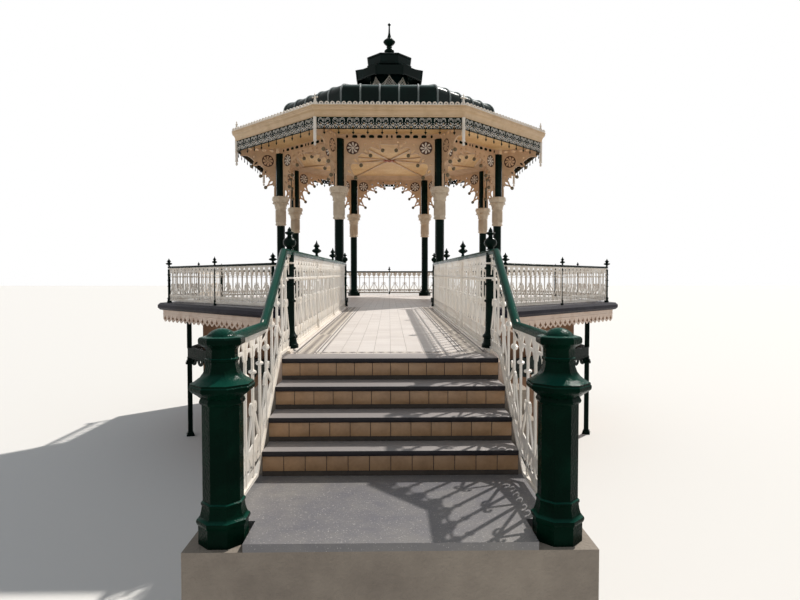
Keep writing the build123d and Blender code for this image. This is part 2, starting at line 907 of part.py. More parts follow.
with BuildPart() as handrails:
    for (near, high), (far, _) in zip(rail_top_line, rail_top_line[1:]):
        end = far - mitre_joint
        low = level_on(rail_top_line, end)
        for place in (-bridge_rail_half, bridge_rail_half):
            with BuildSketch(side_view.offset(place)):
                with BuildLine():
                    Polyline(
                        (near, high - rail_depth),
                        (end, low - rail_depth),
                        (end, low),
                        (near, high),
                        close=True,
                    )
                make_face()
            extrude(amount=rail_width / 2, both=True)
handrails.part.label = "handrails"


# Slender posts under the rails, and the pointed spikes that stand over them
def post(foot, head):
    """An iron post from its foot to the underside of the rail."""
    return turned(
        [
            (foot, post_base_apothem),
            (foot + post_base_height * 0.55, post_base_apothem),
            (foot + post_base_height, post_apothem),
            (head, post_apothem),
        ],
        count=post_sides,
    )


spike = turned(
    [
        (0, 26),
        (45, 18),
        (70, 50),
        (100, 18),
        (125, 27),
        (195, 4),
    ],
    count=spike_sides,
)
deck_post = post(coping_top, panel_head)
with BuildPart() as rail_posts:
    with PolarLocations(rail_radius, sides, start_angle=half_angle):
        add(deck_post)
    with PolarLocations(rail_apothem, sides - 1, start_angle=-45, angular_range=315):
        add(deck_post)
    for reach in post_reaches:
        bridge_post = post(
            level_on(kerb_line, reach) + slope_clearance,
            level_on(rail_under_line, reach) - slope_clearance,
        )
        with Locations((-bridge_rail_half, -reach, 0), (bridge_rail_half, -reach, 0)):
            add(bridge_post)
rail_posts.part.label = "rail_posts"

with BuildPart() as rail_spikes:
    with Locations((0, 0, deck_level + rail_height)):
        with PolarLocations(rail_radius, sides, start_angle=half_angle):
            add(spike)
        with PolarLocations(rail_apothem, sides - 1, start_angle=-45, angular_range=315):
            add(spike)
    for reach in post_reaches:
        foot = level_on(rail_top_line, reach) + slope_clearance
        with Locations((-bridge_rail_half, -reach, foot), (bridge_rail_half, -reach, foot)):
            add(spike)
rail_spikes.part.label = "rail_spikes"

# Masonry abutment, the stepped core on it, and the steps themselves
with BuildPart() as abutment:
    with Locations((0, -(abutment_front + abutment_back) / 2, newel_base / 2)):
        Box(2 * abutment_half_width, abutment_front - abutment_back, newel_base)
abutment.part.label = "abutment"

core_backs = [reach - tread_overhang - riser_thickness for reach in nosing_reach]
with BuildPart() as stair_core:
    for step, reach in enumerate(core_backs):
        last = step + 1 == len(core_backs)
        back = abutment_back if last else core_backs[step + 1] + mitre_joint
        top = slab_under if last else street_level + riser * (step + 1) - tread_thickness
        with Locations((0, -(reach + back) / 2, (newel_base + top) / 2)):
            Box(2 * abutment_half_width, reach - back, top - newel_base)
stair_core.part.label = "stair_core"

with BuildPart() as stair_treads:
    for step, reach in enumerate(nosing_reach):
        back = core_backs[step + 1] if step + 1 < len(nosing_reach) else strip_back
        top = street_level + riser * (step + 1)
        with Locations((0, -(reach + back) / 2, top - tread_thickness / 2)):
            Box(2 * stair_half_width, reach - back, tread_thickness)
stair_treads.part.label = "stair_treads"

with BuildPart() as stair_risers:
    for step, back in enumerate(core_backs):
        low = street_level + riser * step
        high = street_level + riser * (step + 1) - tread_thickness
        with Locations((0, -back - riser_thickness / 2, (low + high) / 2)):
            Box(2 * stair_half_width, riser_thickness, high - low)
stair_risers.part.label = "stair_risers"

slab_neck = newel_half_spacing - newel_base_apothem - coping_joint
slab_throat = newel_reach - newel_base_apothem - coping_joint
with BuildPart() as foot_slab:
    with BuildSketch(Plane.XY.offset(newel_base)):
        with Locations((0, -(core_backs[0] + slab_throat) / 2)):
            Rectangle(2 * foot_slab_half_width, slab_throat - core_backs[0])
        with Locations((0, -(slab_throat + abutment_front) / 2)):
            Rectangle(2 * slab_neck, abutment_front - slab_throat)
    extrude(amount=foot_slab_thickness)
foot_slab.part.label = "foot_slab"

# The two octagonal newels at the foot of the steps
newel = turned(
    [
        (0, newel_base_apothem),
        (60, newel_base_apothem),
        (130, newel_base_apothem * 0.9),
        (180, newel_base_apothem * 0.86),
        (newel_base_height, newel_shaft_apothem),
        (newel_collar_level, newel_shaft_apothem),
        (newel_collar_level + 40, newel_collar_apothem * 0.92),
        (newel_collar_level + 48, newel_collar_apothem),
        (newel_collar_level + 70, newel_collar_apothem),
        (newel_neck_level, newel_neck_apothem),
        (newel_cap_level, newel_neck_apothem),
        (newel_cap_level + 8, newel_cap_apothem),
        (newel_cap_level + 40, newel_cap_apothem),
        (newel_cap_level + 60, newel_cap_apothem * 0.75),
        (newel_height, newel_cap_apothem * 0.3),
    ]
)
with BuildPart() as newels:
    for place in (-newel_half_spacing, newel_half_spacing):
        with Locations((place, -newel_reach, newel_base)):
            add(newel)
newels.part.label = "newels"

os.makedirs("parts", exist_ok=True)
for piece in (
    lower_floor,
    lower_walls,
    lower_posts,
    lower_beams,
    deck_slab,
    deck_floor,
    deck_coping,
    deck_fringe,
    column_bases,
    columns,
    capitals,
    upper_shafts,
    arch_beams,
    arch_frets,
    eaves_brackets,
    ceiling,
    gutter,
    cresting,
    corner_spires,
    valance,
    corner_pendants,
    skirt_roof,
    drum_roof,
    roof_rolls,
    lantern_drum,
    lantern_hood,
    lantern_cap,
    finial,
    deck_balustrade,
    deck_rails,
    bridge_slab,
    bridge_floor,
    bridge_girders,
    bridge_kerbs,
    bridge_balustrades,
    stair_balustrades,
    handrails,
    rail_posts,
    rail_spikes,
    abutment,
    stair_core,
    stair_treads,
    stair_risers,
    foot_slab,
    newels,
):
    export_step(piece.part, f"parts/{piece.part.label}.step")
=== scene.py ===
from math import cos, pi, radians, sin, tan

import bmesh
import bpy
from mathutils import Matrix, Vector


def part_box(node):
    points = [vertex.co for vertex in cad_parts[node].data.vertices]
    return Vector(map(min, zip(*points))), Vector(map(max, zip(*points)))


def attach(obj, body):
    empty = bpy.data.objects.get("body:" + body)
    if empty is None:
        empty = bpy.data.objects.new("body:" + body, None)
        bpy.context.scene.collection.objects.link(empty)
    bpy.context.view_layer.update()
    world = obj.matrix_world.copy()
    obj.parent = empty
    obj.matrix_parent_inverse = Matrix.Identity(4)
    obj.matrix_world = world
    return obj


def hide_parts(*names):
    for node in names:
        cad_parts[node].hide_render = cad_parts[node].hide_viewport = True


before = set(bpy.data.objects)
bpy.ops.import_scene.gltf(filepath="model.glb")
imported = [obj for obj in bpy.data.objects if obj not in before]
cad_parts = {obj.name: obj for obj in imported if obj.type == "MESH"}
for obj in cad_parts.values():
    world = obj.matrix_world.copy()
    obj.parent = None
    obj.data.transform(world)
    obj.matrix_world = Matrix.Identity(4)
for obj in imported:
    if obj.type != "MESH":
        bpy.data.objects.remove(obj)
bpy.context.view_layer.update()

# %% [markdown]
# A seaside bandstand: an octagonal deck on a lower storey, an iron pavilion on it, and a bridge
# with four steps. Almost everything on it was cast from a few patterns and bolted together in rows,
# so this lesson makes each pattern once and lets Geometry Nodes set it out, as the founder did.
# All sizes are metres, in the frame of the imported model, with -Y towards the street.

sides = 8
turn_step = 2 * pi / sides
# For each metre from an octagon's centre to its flats: half of a side, and the distance to a corner
half_side = tan(turn_step / 2)
to_corner = 1 / cos(turn_step / 2)
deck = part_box("deck_floor")[1].z
scene = bpy.context.scene

# %% [markdown]
# Nearly every surface is paint, stone or glazed clay. Each finish starts from a base colour, and
# lays over it what weather or the making adds, through soft noises of a real size. One function
# turns the hex colours to linear light, and one adds a node with its settings and links.

# %% Colours and nodes
def linear(code):
    """An sRGB hex colour as linear red, green, blue and alpha."""
    parts = [int(code[place:place + 2], 16) / 255 for place in (0, 2, 4)]
    return (*[part / 12.92 if part <= 0.04045 else ((part + 0.055) / 1.055) ** 2.4 for part in parts], 1)


def add_node(tree, kind, settings=(), **inputs):
    """A new node's outputs. An input is given by its number, as i0, or by its name, with _ for a space."""
    node = tree.nodes.new(kind)
    for name, value in dict(settings).items():
        setattr(node, name, value)
    for name, value in inputs.items():
        key = int(name[1:]) if name[1:].isdigit() else name.replace("_", " ")
        if isinstance(value, bpy.types.NodeSocket):
            tree.links.new(value, node.inputs[key])
        else:
            node.inputs[key].default_value = value
    return node.outputs


def surface(name, roughness, coat=0.0, gloss=0.5):
    """A new material with its shader, and the object coordinates that its patterns read."""
    material = bpy.data.materials.new(name)
    material.use_nodes = True
    tree = material.node_tree
    shader = tree.nodes["Principled BSDF"]
    shader.inputs["Roughness"].default_value = roughness
    shader.inputs["Coat Weight"].default_value = coat
    shader.inputs["Specular IOR Level"].default_value = gloss
    place = add_node(tree, "ShaderNodeTexCoord")["Object"]
    return material, tree, shader, place


def layered(tree, colour, *layers):
    """A colour with others laid over it, each as (amount, colour) or (amount, colour, way of blending)."""
    for amount, over, *blend in layers:
        settings = {"data_type": "RGBA", "blend_type": blend[0] if blend else "MIX"}
        colour = add_node(tree, "ShaderNodeMix", settings, i0=amount, i6=colour, i7=over)[2]
    return colour


def patches(tree, place, size, low, high, detail=4.0):
    """A soft noise with features of a real size in metres, stretched between two levels."""
    noise = add_node(tree, "ShaderNodeTexNoise", Vector=place, Scale=1 / size, Detail=detail)[0]
    return add_node(tree, "ShaderNodeMapRange", Value=noise, From_Min=low, From_Max=high)[0]


def facing_up(tree, low, high, most):
    """How much a face looks at the sky, for a painted sky sheen, and for tops paled by wear and painted
    sunlight.
    """
    normal = add_node(tree, "ShaderNodeNewGeometry")["Normal"]
    rise = add_node(tree, "ShaderNodeSeparateXYZ", Vector=normal)[2]
    return add_node(tree, "ShaderNodeMapRange", Value=rise, From_Min=low, From_Max=high, To_Max=most)[0]


def dress(tree, shader, colour, height, depth):
    """Gives a shader its colour, and relief of a real depth in metres from a height between 0 and 1."""
    tree.links.new(colour, shader.inputs["Base Color"])
    bump = add_node(tree, "ShaderNodeBump", Height=height, Distance=depth, Strength=1.0)[0]
    tree.links.new(bump, shader.inputs["Normal"])


# %% [markdown]
# Gloss paint on cast iron is never quite flat: it follows the sand-cast skin below it, it chalks
# and stains in patches about as wide as a hand, and grime settles in it. The roughness follows
# the stain, so the highlight breaks up. A dark gloss mirrors the pale surroundings more than its own
# colour shows, so the greens get a lower specular level and still flash where the sun strikes.
# Some paints also get a painted sky sheen: faces that turn up are mixed towards a pale colour,
# as a painted reflection of the sky.

# %% Paints
def paint(
    name, base, stain, roughness, stain_size=0.25, skin=0.012, depth=0.0012, share=0.45, coat=0.1, gloss=0.5,
    sky_sheen=None, sky_sheen_from=0.45,
):
    """Brushed gloss paint over a cast or sheet metal skin. A painted sky sheen, if given, pales what faces
    the sky.
    """
    material, tree, shader, place = surface(name, roughness, coat, gloss)
    weather = patches(tree, place, stain_size, 0.45, 0.75)
    fine = patches(tree, place, skin, 0.3, 0.7, detail=2.0)
    stained = add_node(tree, "ShaderNodeMath", {"operation": "MULTIPLY"}, i0=weather, i1=share)[0]
    layers = [(stained, linear(stain))]
    if sky_sheen:
        # Painted sky sheen: faces that turn up are mixed towards a pale colour, as a painted reflection
        layers.append((facing_up(tree, sky_sheen_from, 1.0, 0.6), linear(sky_sheen)))
    colour = layered(tree, linear(base), *layers, (0.06, fine, "OVERLAY"))
    rough = add_node(
        tree, "ShaderNodeMapRange", Value=weather, To_Min=roughness - 0.06, To_Max=roughness + 0.16
    )[0]
    tree.links.new(rough, shader.inputs["Roughness"])
    dress(tree, shader, colour, fine, depth)
    return material


# Ivory gloss on castings: pale and warm, with tan stains
ivory = paint("ivory_gloss_on_iron", "E4DBCF", "C0AA90", 0.42)
# Bridge and step panels and the lace of the eaves: the same ivory made paler, as painted light
lit_ivory = paint("fresh_ivory_gloss_on_iron", "F3ECE2", "D9C8B2", 0.35)
# The same ivory under the roof, darker and warmer, as painted shade and warm bounce light there
shaded_ivory = paint("weathered_ivory_on_iron", "D0AE8C", "A07E5C", 0.5)
# The gutter is a darker buff
buff = paint("buff_gloss_on_iron", "CBAD88", "A78660", 0.4)
# Capitals: a warmer stone-coloured cream, darker than the ivory as painted shade under the roof
shaded_cream = paint("stone_cream_on_iron", "D2C0A8", "A98F73", 0.45, stain_size=0.12)
# The fringe of the deck and the sides of the bridge: a pinker cream
rose_cream = paint("rose_cream_on_iron", "D6BDAA", "AE8B75", 0.5)
# Bottle green gloss, so dark that it reads as black in the shade
bottle_green = paint("bottle_green_gloss_on_iron", "061712", "0C241C", 0.24, share=0.6, coat=0, gloss=0.04)
# The newels: the same gloss in a greener tone, with a painted teal sky sheen on faces that turn up
newel_green = paint(
    "new_green_gloss_on_iron", "031810", "083022", 0.16, share=0.5, coat=0, gloss=0.02, sky_sheen="1D5C4E"
)
# The handrails: a lighter green, with a painted teal sky sheen on their upper faces
rail_green = paint(
    "handled_green_gloss", "043026", "0C4A3B", 0.16, share=0.4, coat=0, gloss=0.015, sky_sheen="165246"
)
# Roof sheet: dark green paint on metal, which shows the long waves of the sheet in its shine
sheet_skin = {"stain_size": 0.6, "skin": 0.05, "depth": 0.0015, "coat": 0, "gloss": 0.07}
roof_green = paint("dark_green_sheet", "081714", "12292A", 0.22, **sheet_skin)
# The drum and the skirt get a painted pale sky sheen where the sheets turn up to the sky
drum_green = paint("salted_green_sheet", "081916", "122C27", 0.18, sky_sheen="5C7F7C", **sheet_skin)
# Their battens are round and glossy; a painted sky sheen pales them towards their tops, as a line of sky
batten_green = paint(
    "glossy_green_roll", "12302A", "2C4F46", 0.12, stain_size=0.4, depth=0.0004, coat=0.3,
    sky_sheen="F6FBFA", sky_sheen_from=-0.1,
)
# Iron oxide red behind the rosettes and on the star, and the dull bronze green of the small balls
oxide_red = paint("oxide_red_paint", "4C2A1C", "2C160F", 0.55)
star_red = paint("faded_oxide_red", "A5522F", "7E3A22", 0.5)
bronze_green = paint("bronze_green_paint", "66583C", "463B28", 0.45)
print("paints:", len(bpy.data.materials))

# %% [markdown]
# Stone and clay: the coping and treads are honed slate, split in faint layers; the floor and the
# risers are laid with small tiles, with darker joints between them; the lower walls are rendered.
# The floor tiles are drawn by brick nodes at their real 150 mm, because thousands of flat tiles
# would only be a pattern anyway. The tiles of the risers, which stand up, are made as pieces.

# %% Slate and masonry
def masonry(name, base, second, roughness, size, grit, depth, worn_and_painted_lit_top=None, fleck=None, gloss=0.5):
    """Stone or render: broad and finer patches, real grit, and if given pale flecks and a top paled by wear
    and painted sunlight.
    """
    material, tree, shader, place = surface(name, roughness, gloss=gloss)
    broad = patches(tree, place, size, 0.35, 0.7)
    fine = patches(tree, place, size / 6, 0.3, 0.75)
    both = add_node(tree, "ShaderNodeMath", {"operation": "MULTIPLY"}, i0=broad, i1=0.65)[0]
    both = add_node(tree, "ShaderNodeMath", {"operation": "MULTIPLY_ADD"}, i0=fine, i1=0.35, i2=both)[0]
    layers = [(both, linear(second))]
    # Painted sunlight and wear: faces that look up are mixed towards a paler colour
    if worn_and_painted_lit_top:
        layers.append((facing_up(tree, 0.6, 0.95, 0.9), linear(worn_and_painted_lit_top)))
    if fleck:
        layers.append((patches(tree, place, 0.008, 0.66, 0.72, detail=1.0), linear(fleck)))
    grain = patches(tree, place, grit, 0.3, 0.7, detail=3.0)
    dress(tree, shader, layered(tree, linear(base), *layers), grain, depth)
    return material


split = {"size": 0.35, "grit": 0.02, "depth": 0.0015}
# The coping's top is paler, partly wear and partly painted sunlight
slate = masonry("honed_blue_slate", "14121A", "292632", 0.4, **split, worn_and_painted_lit_top="26242E", gloss=0.07)
# Treads: the same slate, paler and roughened by shoes, with tops paled further partly by wear and partly as
# painted sunlight
trodden_and_sunlit_slate = masonry("trodden_blue_slate", "1D1B1F", "2E2B30", 0.45, **split, worn_and_painted_lit_top="A09A98", gloss=0.2)
granite = masonry("flecked_grey_granite", "68676D", "8F8B85", 0.4, 0.8, 0.03, 0.001, fleck="B4B0AC")
brown_render = masonry("brown_lime_render", "8F6A4C", "6E4E38", 0.9, 0.8, 0.03, 0.004)
plain_stone = masonry("dressed_stone", "9A8F82", "7C7268", 0.85, 0.5, 0.02, 0.003)
ochre_tile = masonry("ochre_glazed_tile", "B5906C", "937150", 0.35, 0.14, 0.05, 0.0006)
grout = masonry("dark_grout", "3A3430", "4A423B", 0.9, 0.1, 0.01, 0.001)

# %% Tiled floors
bridge_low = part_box("bridge_floor")[0].y
chequer_size = 0.06


def tiled(name, base, second, joint, tile, gap, border=None):
    """Square tiles from a brick texture, with joints 2 mm deep and an optional border over them."""
    material, tree, shader, place = surface(name, 0.45)
    brick = add_node(
        tree, "ShaderNodeTexBrick", {"offset": 0.0, "squash": 1.0},
        Vector=place, Color1=linear(base), Color2=linear(second), Mortar=linear(joint),
        Scale=1.0, Mortar_Size=gap / 2, Brick_Width=tile, Row_Height=tile,
    )
    layers = border(tree, place) if border else []
    layers.append((patches(tree, place, 0.4, 0.45, 1.6), linear(joint)))
    dress(tree, shader, layered(tree, brick[0], *layers), brick[1], -0.002)
    return material


def bridge_border(tree, place):
    """Dark lines and a chequer band along each side, and a chequer band at the stair head, as layers."""
    spread = add_node(tree, "ShaderNodeSeparateXYZ", Vector=place)
    aside = add_node(tree, "ShaderNodeMath", {"operation": "ABSOLUTE"}, i0=spread[0])[0]
    turned = add_node(tree, "ShaderNodeMapping", Vector=place, Rotation=(0, 0, pi / 4))[0]
    chequer = add_node(
        tree, "ShaderNodeTexChecker",
        Vector=turned, Color1=linear("6A615D"), Color2=linear("CFC5B8"), Scale=1 / chequer_size,
    )[0]
    dark = linear("3A3433")
    bands = [(aside, 0.615, 0.012, dark), (aside, 0.655, 0.012, dark), (aside, 0.845, 0.022, dark)]
    bands += [(aside, 0.75, 0.15, chequer), (spread[1], bridge_low + 0.075, 0.085, chequer)]
    layers = []
    for axis, centre, width, colour in bands:
        near = add_node(
            tree, "ShaderNodeMath", {"operation": "COMPARE"}, i0=axis, i1=centre, i2=width / 2
        )[0]
        layers.append((near, colour))
    return layers


floor_tile = tiled("cream_floor_tile", "DAD4D0", "CFC8C3", "A39A94", 0.15, 0.006)
bridge_tile = tiled("bordered_bridge_tile", "E2DBD6", "D9D1CB", "B5ABA5", 0.15, 0.005, bridge_border)


# %% Boards
def boarded(name, base, second, stain):
    """Painted softwood: the grain is a noise stretched along the board's faces."""
    material, tree, shader, place = surface(name, 0.55)
    stretched = add_node(tree, "ShaderNodeMapping", Vector=place, Scale=(1.0, 1.0, 12.0))[0]
    grain = patches(tree, stretched, 0.06, 0.35, 0.7)
    damp = patches(tree, place, 0.7, 0.4, 0.8)
    colour = layered(tree, linear(base), (grain, linear(second)), (damp, linear(stain)))
    dress(tree, shader, colour, grain, 0.0008)
    return material


soffit_board = boarded("varnished_cream_board", "F0CD98", "DEB278", "C9985F")
print("materials:", len(bpy.data.materials))

# %% [markdown]
# Every piece is built from one of a few shapes: a plate cut from sheet, a strip bent in a plane, a
# turned piece, or a moulding run along a path. The first three are made in a small frame of their
# own: x along the piece, y through its thickness with the front at -y, and z up. A moulding is made
# where it goes.

# %% Meshes
def mesh_from(shape, crease=35):
    """Closes a bmesh into a mesh with outward faces, smooth below the crease angle."""
    bmesh.ops.remove_doubles(shape, verts=shape.verts, dist=0.00002)
    bmesh.ops.recalc_face_normals(shape, faces=shape.faces)
    mesh = bpy.data.meshes.new("piece")
    shape.to_mesh(mesh)
    shape.free()
    mesh.polygons.foreach_set("use_smooth", [True] * len(mesh.polygons))
    mesh.set_sharp_from_angle(angle=radians(crease))
    return mesh


def together(meshes, name="piece"):
    """Several meshes as one, each with its own faces and sharp edges."""
    shape = bmesh.new()
    for mesh in meshes:
        shape.from_mesh(mesh)
    joined = bpy.data.meshes.new(name)
    shape.to_mesh(joined)
    shape.free()
    for mesh in meshes:
        bpy.data.meshes.remove(mesh)
    return joined


def moved(mesh, x=0.0, y=0.0, z=0.0, turn=0.0):
    """A copy of a mesh, turned about z and then shifted."""
    copy = mesh.copy()
    copy.transform(Matrix.Translation((x, y, z)) @ Matrix.Rotation(turn, 4, "Z"))
    return copy


# %% Lines
def arc(x, z, radius, start, end, steps):
    """Points of an arc in the x-z plane, with angles in degrees."""
    angles = [radians(start + (end - start) * step / steps) for step in range(steps + 1)]
    return [(x + radius * cos(angle), z + radius * sin(angle)) for angle in angles]


def flowing(points, steps):
    """A smooth line through a few points, as a Catmull-Rom curve."""
    line = [points[0], *points, points[-1]]
    smooth = []
    for span in zip(line, line[1:], line[2:], line[3:]):
        for t in [step / steps for step in range(steps)]:
            weights = (-t + 2 * t**2 - t**3, 2 - 5 * t**2 + 3 * t**3, t + 4 * t**2 - 3 * t**3, t**3 - t**2)
            spot = [sum(w * point[axis] for w, point in zip(weights, span)) / 2 for axis in (0, 1)]
            smooth.append(tuple(spot))
    return [*smooth, points[-1]]


def octagon(apothem, height=0.0, gap=0.0):
    """The corners of an octagon, anticlockwise. With a gap it starts and ends beside the bridge."""
    radius = apothem * to_corner
    angles = [-pi / 2 + turn_step * (index + 0.5) for index in range(sides)]
    corners = [(radius * cos(angle), radius * sin(angle), height) for angle in angles]
    return [(gap, -apothem, height), *corners, (-gap, -apothem, height)] if gap else corners


# %% Shapes
def loft(shape, rings, closed=False):
    """Faces from each ring of corners to the next. A ring may be a single point. Open ends get a cap."""
    for first, second in zip(rings, rings[1:] + rings[:1] if closed else rings[1:]):
        for spot in range(max(len(first), len(second))):
            around = ((first, spot), (first, spot + 1), (second, spot + 1), (second, spot))
            corners = list(dict.fromkeys(ring[place % len(ring)] for ring, place in around))
            if len(corners) > 2:
                shape.faces.new(corners)
    ends = () if closed else (rings[0], rings[-1])
    for ring in ends:
        if len(ring) > 2:
            shape.faces.new(ring)


def strip(points, width, depth, closed=False, tip=None, facets=4):
    """A bar bent through points in the x-z plane, flat or with round facets. It may narrow to a tip."""
    shape = bmesh.new()
    count = len(points)
    rings = []
    corners = [(1, -1), (-1, -1), (-1, 1), (1, 1)]
    if facets > 4:
        corners = [(cos(2 * pi * k / facets), sin(2 * pi * k / facets)) for k in range(facets)]
    for index, (x, z) in enumerate(points):
        before = points[index - 1] if index or closed else points[0]
        after = points[(index + 1) % count] if index + 1 < count or closed else points[-1]
        along = Vector((after[0] - before[0], after[1] - before[1])).normalized()
        half = width / 2 if tip is None else (width + (tip - width) * index / (count - 1)) / 2
        coming = Vector((x - before[0], z - before[1]))
        mitre = max(abs(coming.normalized().dot(along)), 0.5) if coming.length else 1
        side = Vector((-along.y, along.x)) * half / mitre
        spots = [(x + way * side.x, face * depth / 2, z + way * side.y) for way, face in corners]
        rings.append([shape.verts.new(spot) for spot in spots])
    loft(shape, rings, closed)
    return mesh_from(shape)


def plate(loops, thickness, edge=0.0):
    """A plate in the x-z plane from its outline and its holes, with an optional bevelled edge."""
    curve = bpy.data.curves.new("plate", "CURVE")
    curve.dimensions = "2D"
    curve.fill_mode = "BOTH"
    curve.extrude = thickness / 2 - edge
    curve.bevel_depth = edge
    curve.bevel_resolution = 0
    curve.offset = -edge
    for loop in loops:
        spline = curve.splines.new("POLY")
        spline.points.add(len(loop) - 1)
        spline.points.foreach_set("co", [value for x, z in loop for value in (x, z, 0, 1)])
        spline.use_cyclic_u = True
    holder = bpy.data.objects.new("plate", curve)
    scene.collection.objects.link(holder)
    bpy.context.view_layer.update()
    flat = bpy.data.meshes.new_from_object(holder.evaluated_get(bpy.context.evaluated_depsgraph_get()))
    flat.transform(Matrix.Rotation(pi / 2, 4, "X"))
    bpy.data.objects.remove(holder)
    shape = bmesh.new()
    shape.from_mesh(flat)
    bpy.data.meshes.remove(flat)
    return mesh_from(shape)


def lathe(profile, count=24, crease=35):
    """A turned piece from (radius, height) points. With few sides it is a faceted casting."""
    shape = bmesh.new()
    rings = []
    for radius, height in profile:
        spots = count if radius > 0.00001 else 1
        angles = [2 * pi * (index + 0.5) / count for index in range(spots)]
        rings.append([shape.verts.new((radius * cos(a), radius * sin(a), height)) for a in angles])
    loft(shape, rings)
    return mesh_from(shape, crease)


def faceted(profile, count=sides):
    """A turned casting with flats, from (apothem, height) points."""
    stretch = 1 / cos(pi / count)
    return lathe([(apothem * stretch, height) for apothem, height in profile], count, crease=30)


def prism(apothem, low, high):
    """An eight-sided block."""
    return faceted([(0, low), (apothem, low), (apothem, high), (0, high)])


def moulding(path, section, closed=False, crease=35):
    """A section of (outward, upward) points run along a path, mitred where the path turns."""
    shape = bmesh.new()
    path = [Vector(point) for point in path]
    count = len(path)
    rings = []
    for index, point in enumerate(path):
        coming = (point - path[index - 1]).normalized() if index or closed else (path[1] - point).normalized()
        going = (path[(index + 1) % count] - point).normalized() if index + 1 < count or closed else coming
        plane = (coming + going).normalized()
        side = coming.cross(Vector((0, 0, 1))).normalized()
        rise = side.cross(coming)
        ring = []
        for outward, upward in section:
            offset = side * outward + rise * upward
            offset -= coming * (offset.dot(plane) / coming.dot(plane))
            ring.append(shape.verts.new(point + offset))
        rings.append(ring)
    loft(shape, rings, closed)
    return mesh_from(shape, crease)


def band(apothem, height, section, crease=35):
    """A moulding right round the octagon."""
    return moulding(octagon(apothem, height), section, closed=True, crease=crease)


def block(low, high, edge=0.0):
    """A box between two corners, with an optional bevelled edge."""
    shape = bmesh.new()
    bmesh.ops.create_cube(shape, size=1)
    low, high = Vector(low), Vector(high)
    for vert in shape.verts:
        spans = zip(low, high, vert.co)
        vert.co = [(near + far) / 2 + share * (far - near) for near, far, share in spans]
    if edge:
        bmesh.ops.bevel(shape, geom=shape.edges[:], offset=edge, segments=2, profile=0.5, affect="EDGES")
    return mesh_from(shape)


def ball(x, z, radius, rows=6):
    """A small round knob."""
    profile = [(radius * sin(pi * row / rows), -radius * cos(pi * row / rows)) for row in range(rows + 1)]
    return moved(lathe(profile, count=8), x, 0, z)


# %% [markdown]
# Two Geometry Nodes trees set the castings out. The first, cast_row, is a founder's row: it repeats
# a pattern along one side of the octagon, lets the row fall with a slope while its uprights stay
# upright, pushes it out to its line, and repeats the row round the octagon. The second, set_out,
# stands a piece on marked points, each with its own turn. Both end in Realize Instances and Set
# Material, so that the result is plain mesh.

# %% Geometry Nodes trees
def start_tree(name, inputs):
    """A new tree with named inputs, and the sockets that carry them."""
    tree = bpy.data.node_groups.new(name, "GeometryNodeTree")
    tree.interface.new_socket("Geometry", in_out="INPUT", socket_type="NodeSocketGeometry")
    for label, kind in inputs.items():
        tree.interface.new_socket(label, in_out="INPUT", socket_type=f"NodeSocket{kind}")
    tree.interface.new_socket("Geometry", in_out="OUTPUT", socket_type="NodeSocketGeometry")
    return tree, add_node(tree, "NodeGroupInput")


def turned_copies(tree, points, instance, angle):
    """A piece on each point, turned about z by an angle."""
    turn = add_node(tree, "ShaderNodeCombineXYZ", Z=angle)[0]
    spin = add_node(tree, "FunctionNodeEulerToRotation", i0=turn)[0]
    kind = "GeometryNodeInstanceOnPoints"
    return add_node(tree, kind, Points=points, Instance=instance, Rotation=spin)[0]


def end_tree(tree, instances, material):
    """Realizes the instances, gives them their material and links the result."""
    plain = add_node(tree, "GeometryNodeRealizeInstances", Geometry=instances)[0]
    painted = add_node(tree, "GeometryNodeSetMaterial", Geometry=plain, Material=material)[0]
    add_node(tree, "NodeGroupOutput", Geometry=painted)


row_inputs = {"Count": "Int", "Turns": "Int", "First turn": "Int", "Material": "Material"}
row_inputs |= {label: "Float" for label in ("Pitch", "Start", "Reach", "Height", "Fall")}
row_tree, given = start_tree("cast_row", row_inputs)
first_spot = add_node(row_tree, "ShaderNodeCombineXYZ", X=given["Start"])[0]
next_spot = add_node(row_tree, "ShaderNodeCombineXYZ", X=given["Pitch"])[0]
spots = add_node(
    row_tree, "GeometryNodeMeshLine", {"mode": "OFFSET"},
    Count=given["Count"], Start_Location=first_spot, Offset=next_spot,
)[0]
copies = add_node(row_tree, "GeometryNodeInstanceOnPoints", Points=spots, Instance=given["Geometry"])[0]
row = add_node(row_tree, "GeometryNodeRealizeInstances", Geometry=copies)[0]
position = add_node(row_tree, "GeometryNodeInputPosition")[0]
along = add_node(row_tree, "ShaderNodeSeparateXYZ", Vector=position)[0]
level = add_node(
    row_tree, "ShaderNodeMath", {"operation": "MULTIPLY_ADD"}, i0=along, i1=given["Fall"], i2=given["Height"]
)[0]
out = add_node(row_tree, "ShaderNodeMath", {"operation": "MULTIPLY"}, i0=given["Reach"], i1=-1.0)[0]
shift = add_node(row_tree, "ShaderNodeCombineXYZ", Y=out, Z=level)[0]
placed = add_node(row_tree, "GeometryNodeSetPosition", Geometry=row, Offset=shift)[0]
hub = add_node(
    row_tree, "GeometryNodeMeshLine", {"mode": "OFFSET"}, Count=given["Turns"], Offset=(0, 0, 0)
)[0]
index = add_node(row_tree, "GeometryNodeInputIndex")[0]
order = add_node(row_tree, "ShaderNodeMath", {"operation": "ADD"}, i0=index, i1=given["First turn"])[0]
angle = add_node(row_tree, "ShaderNodeMath", {"operation": "MULTIPLY"}, i0=order, i1=turn_step)[0]
end_tree(row_tree, turned_copies(row_tree, hub, placed, angle), given["Material"])

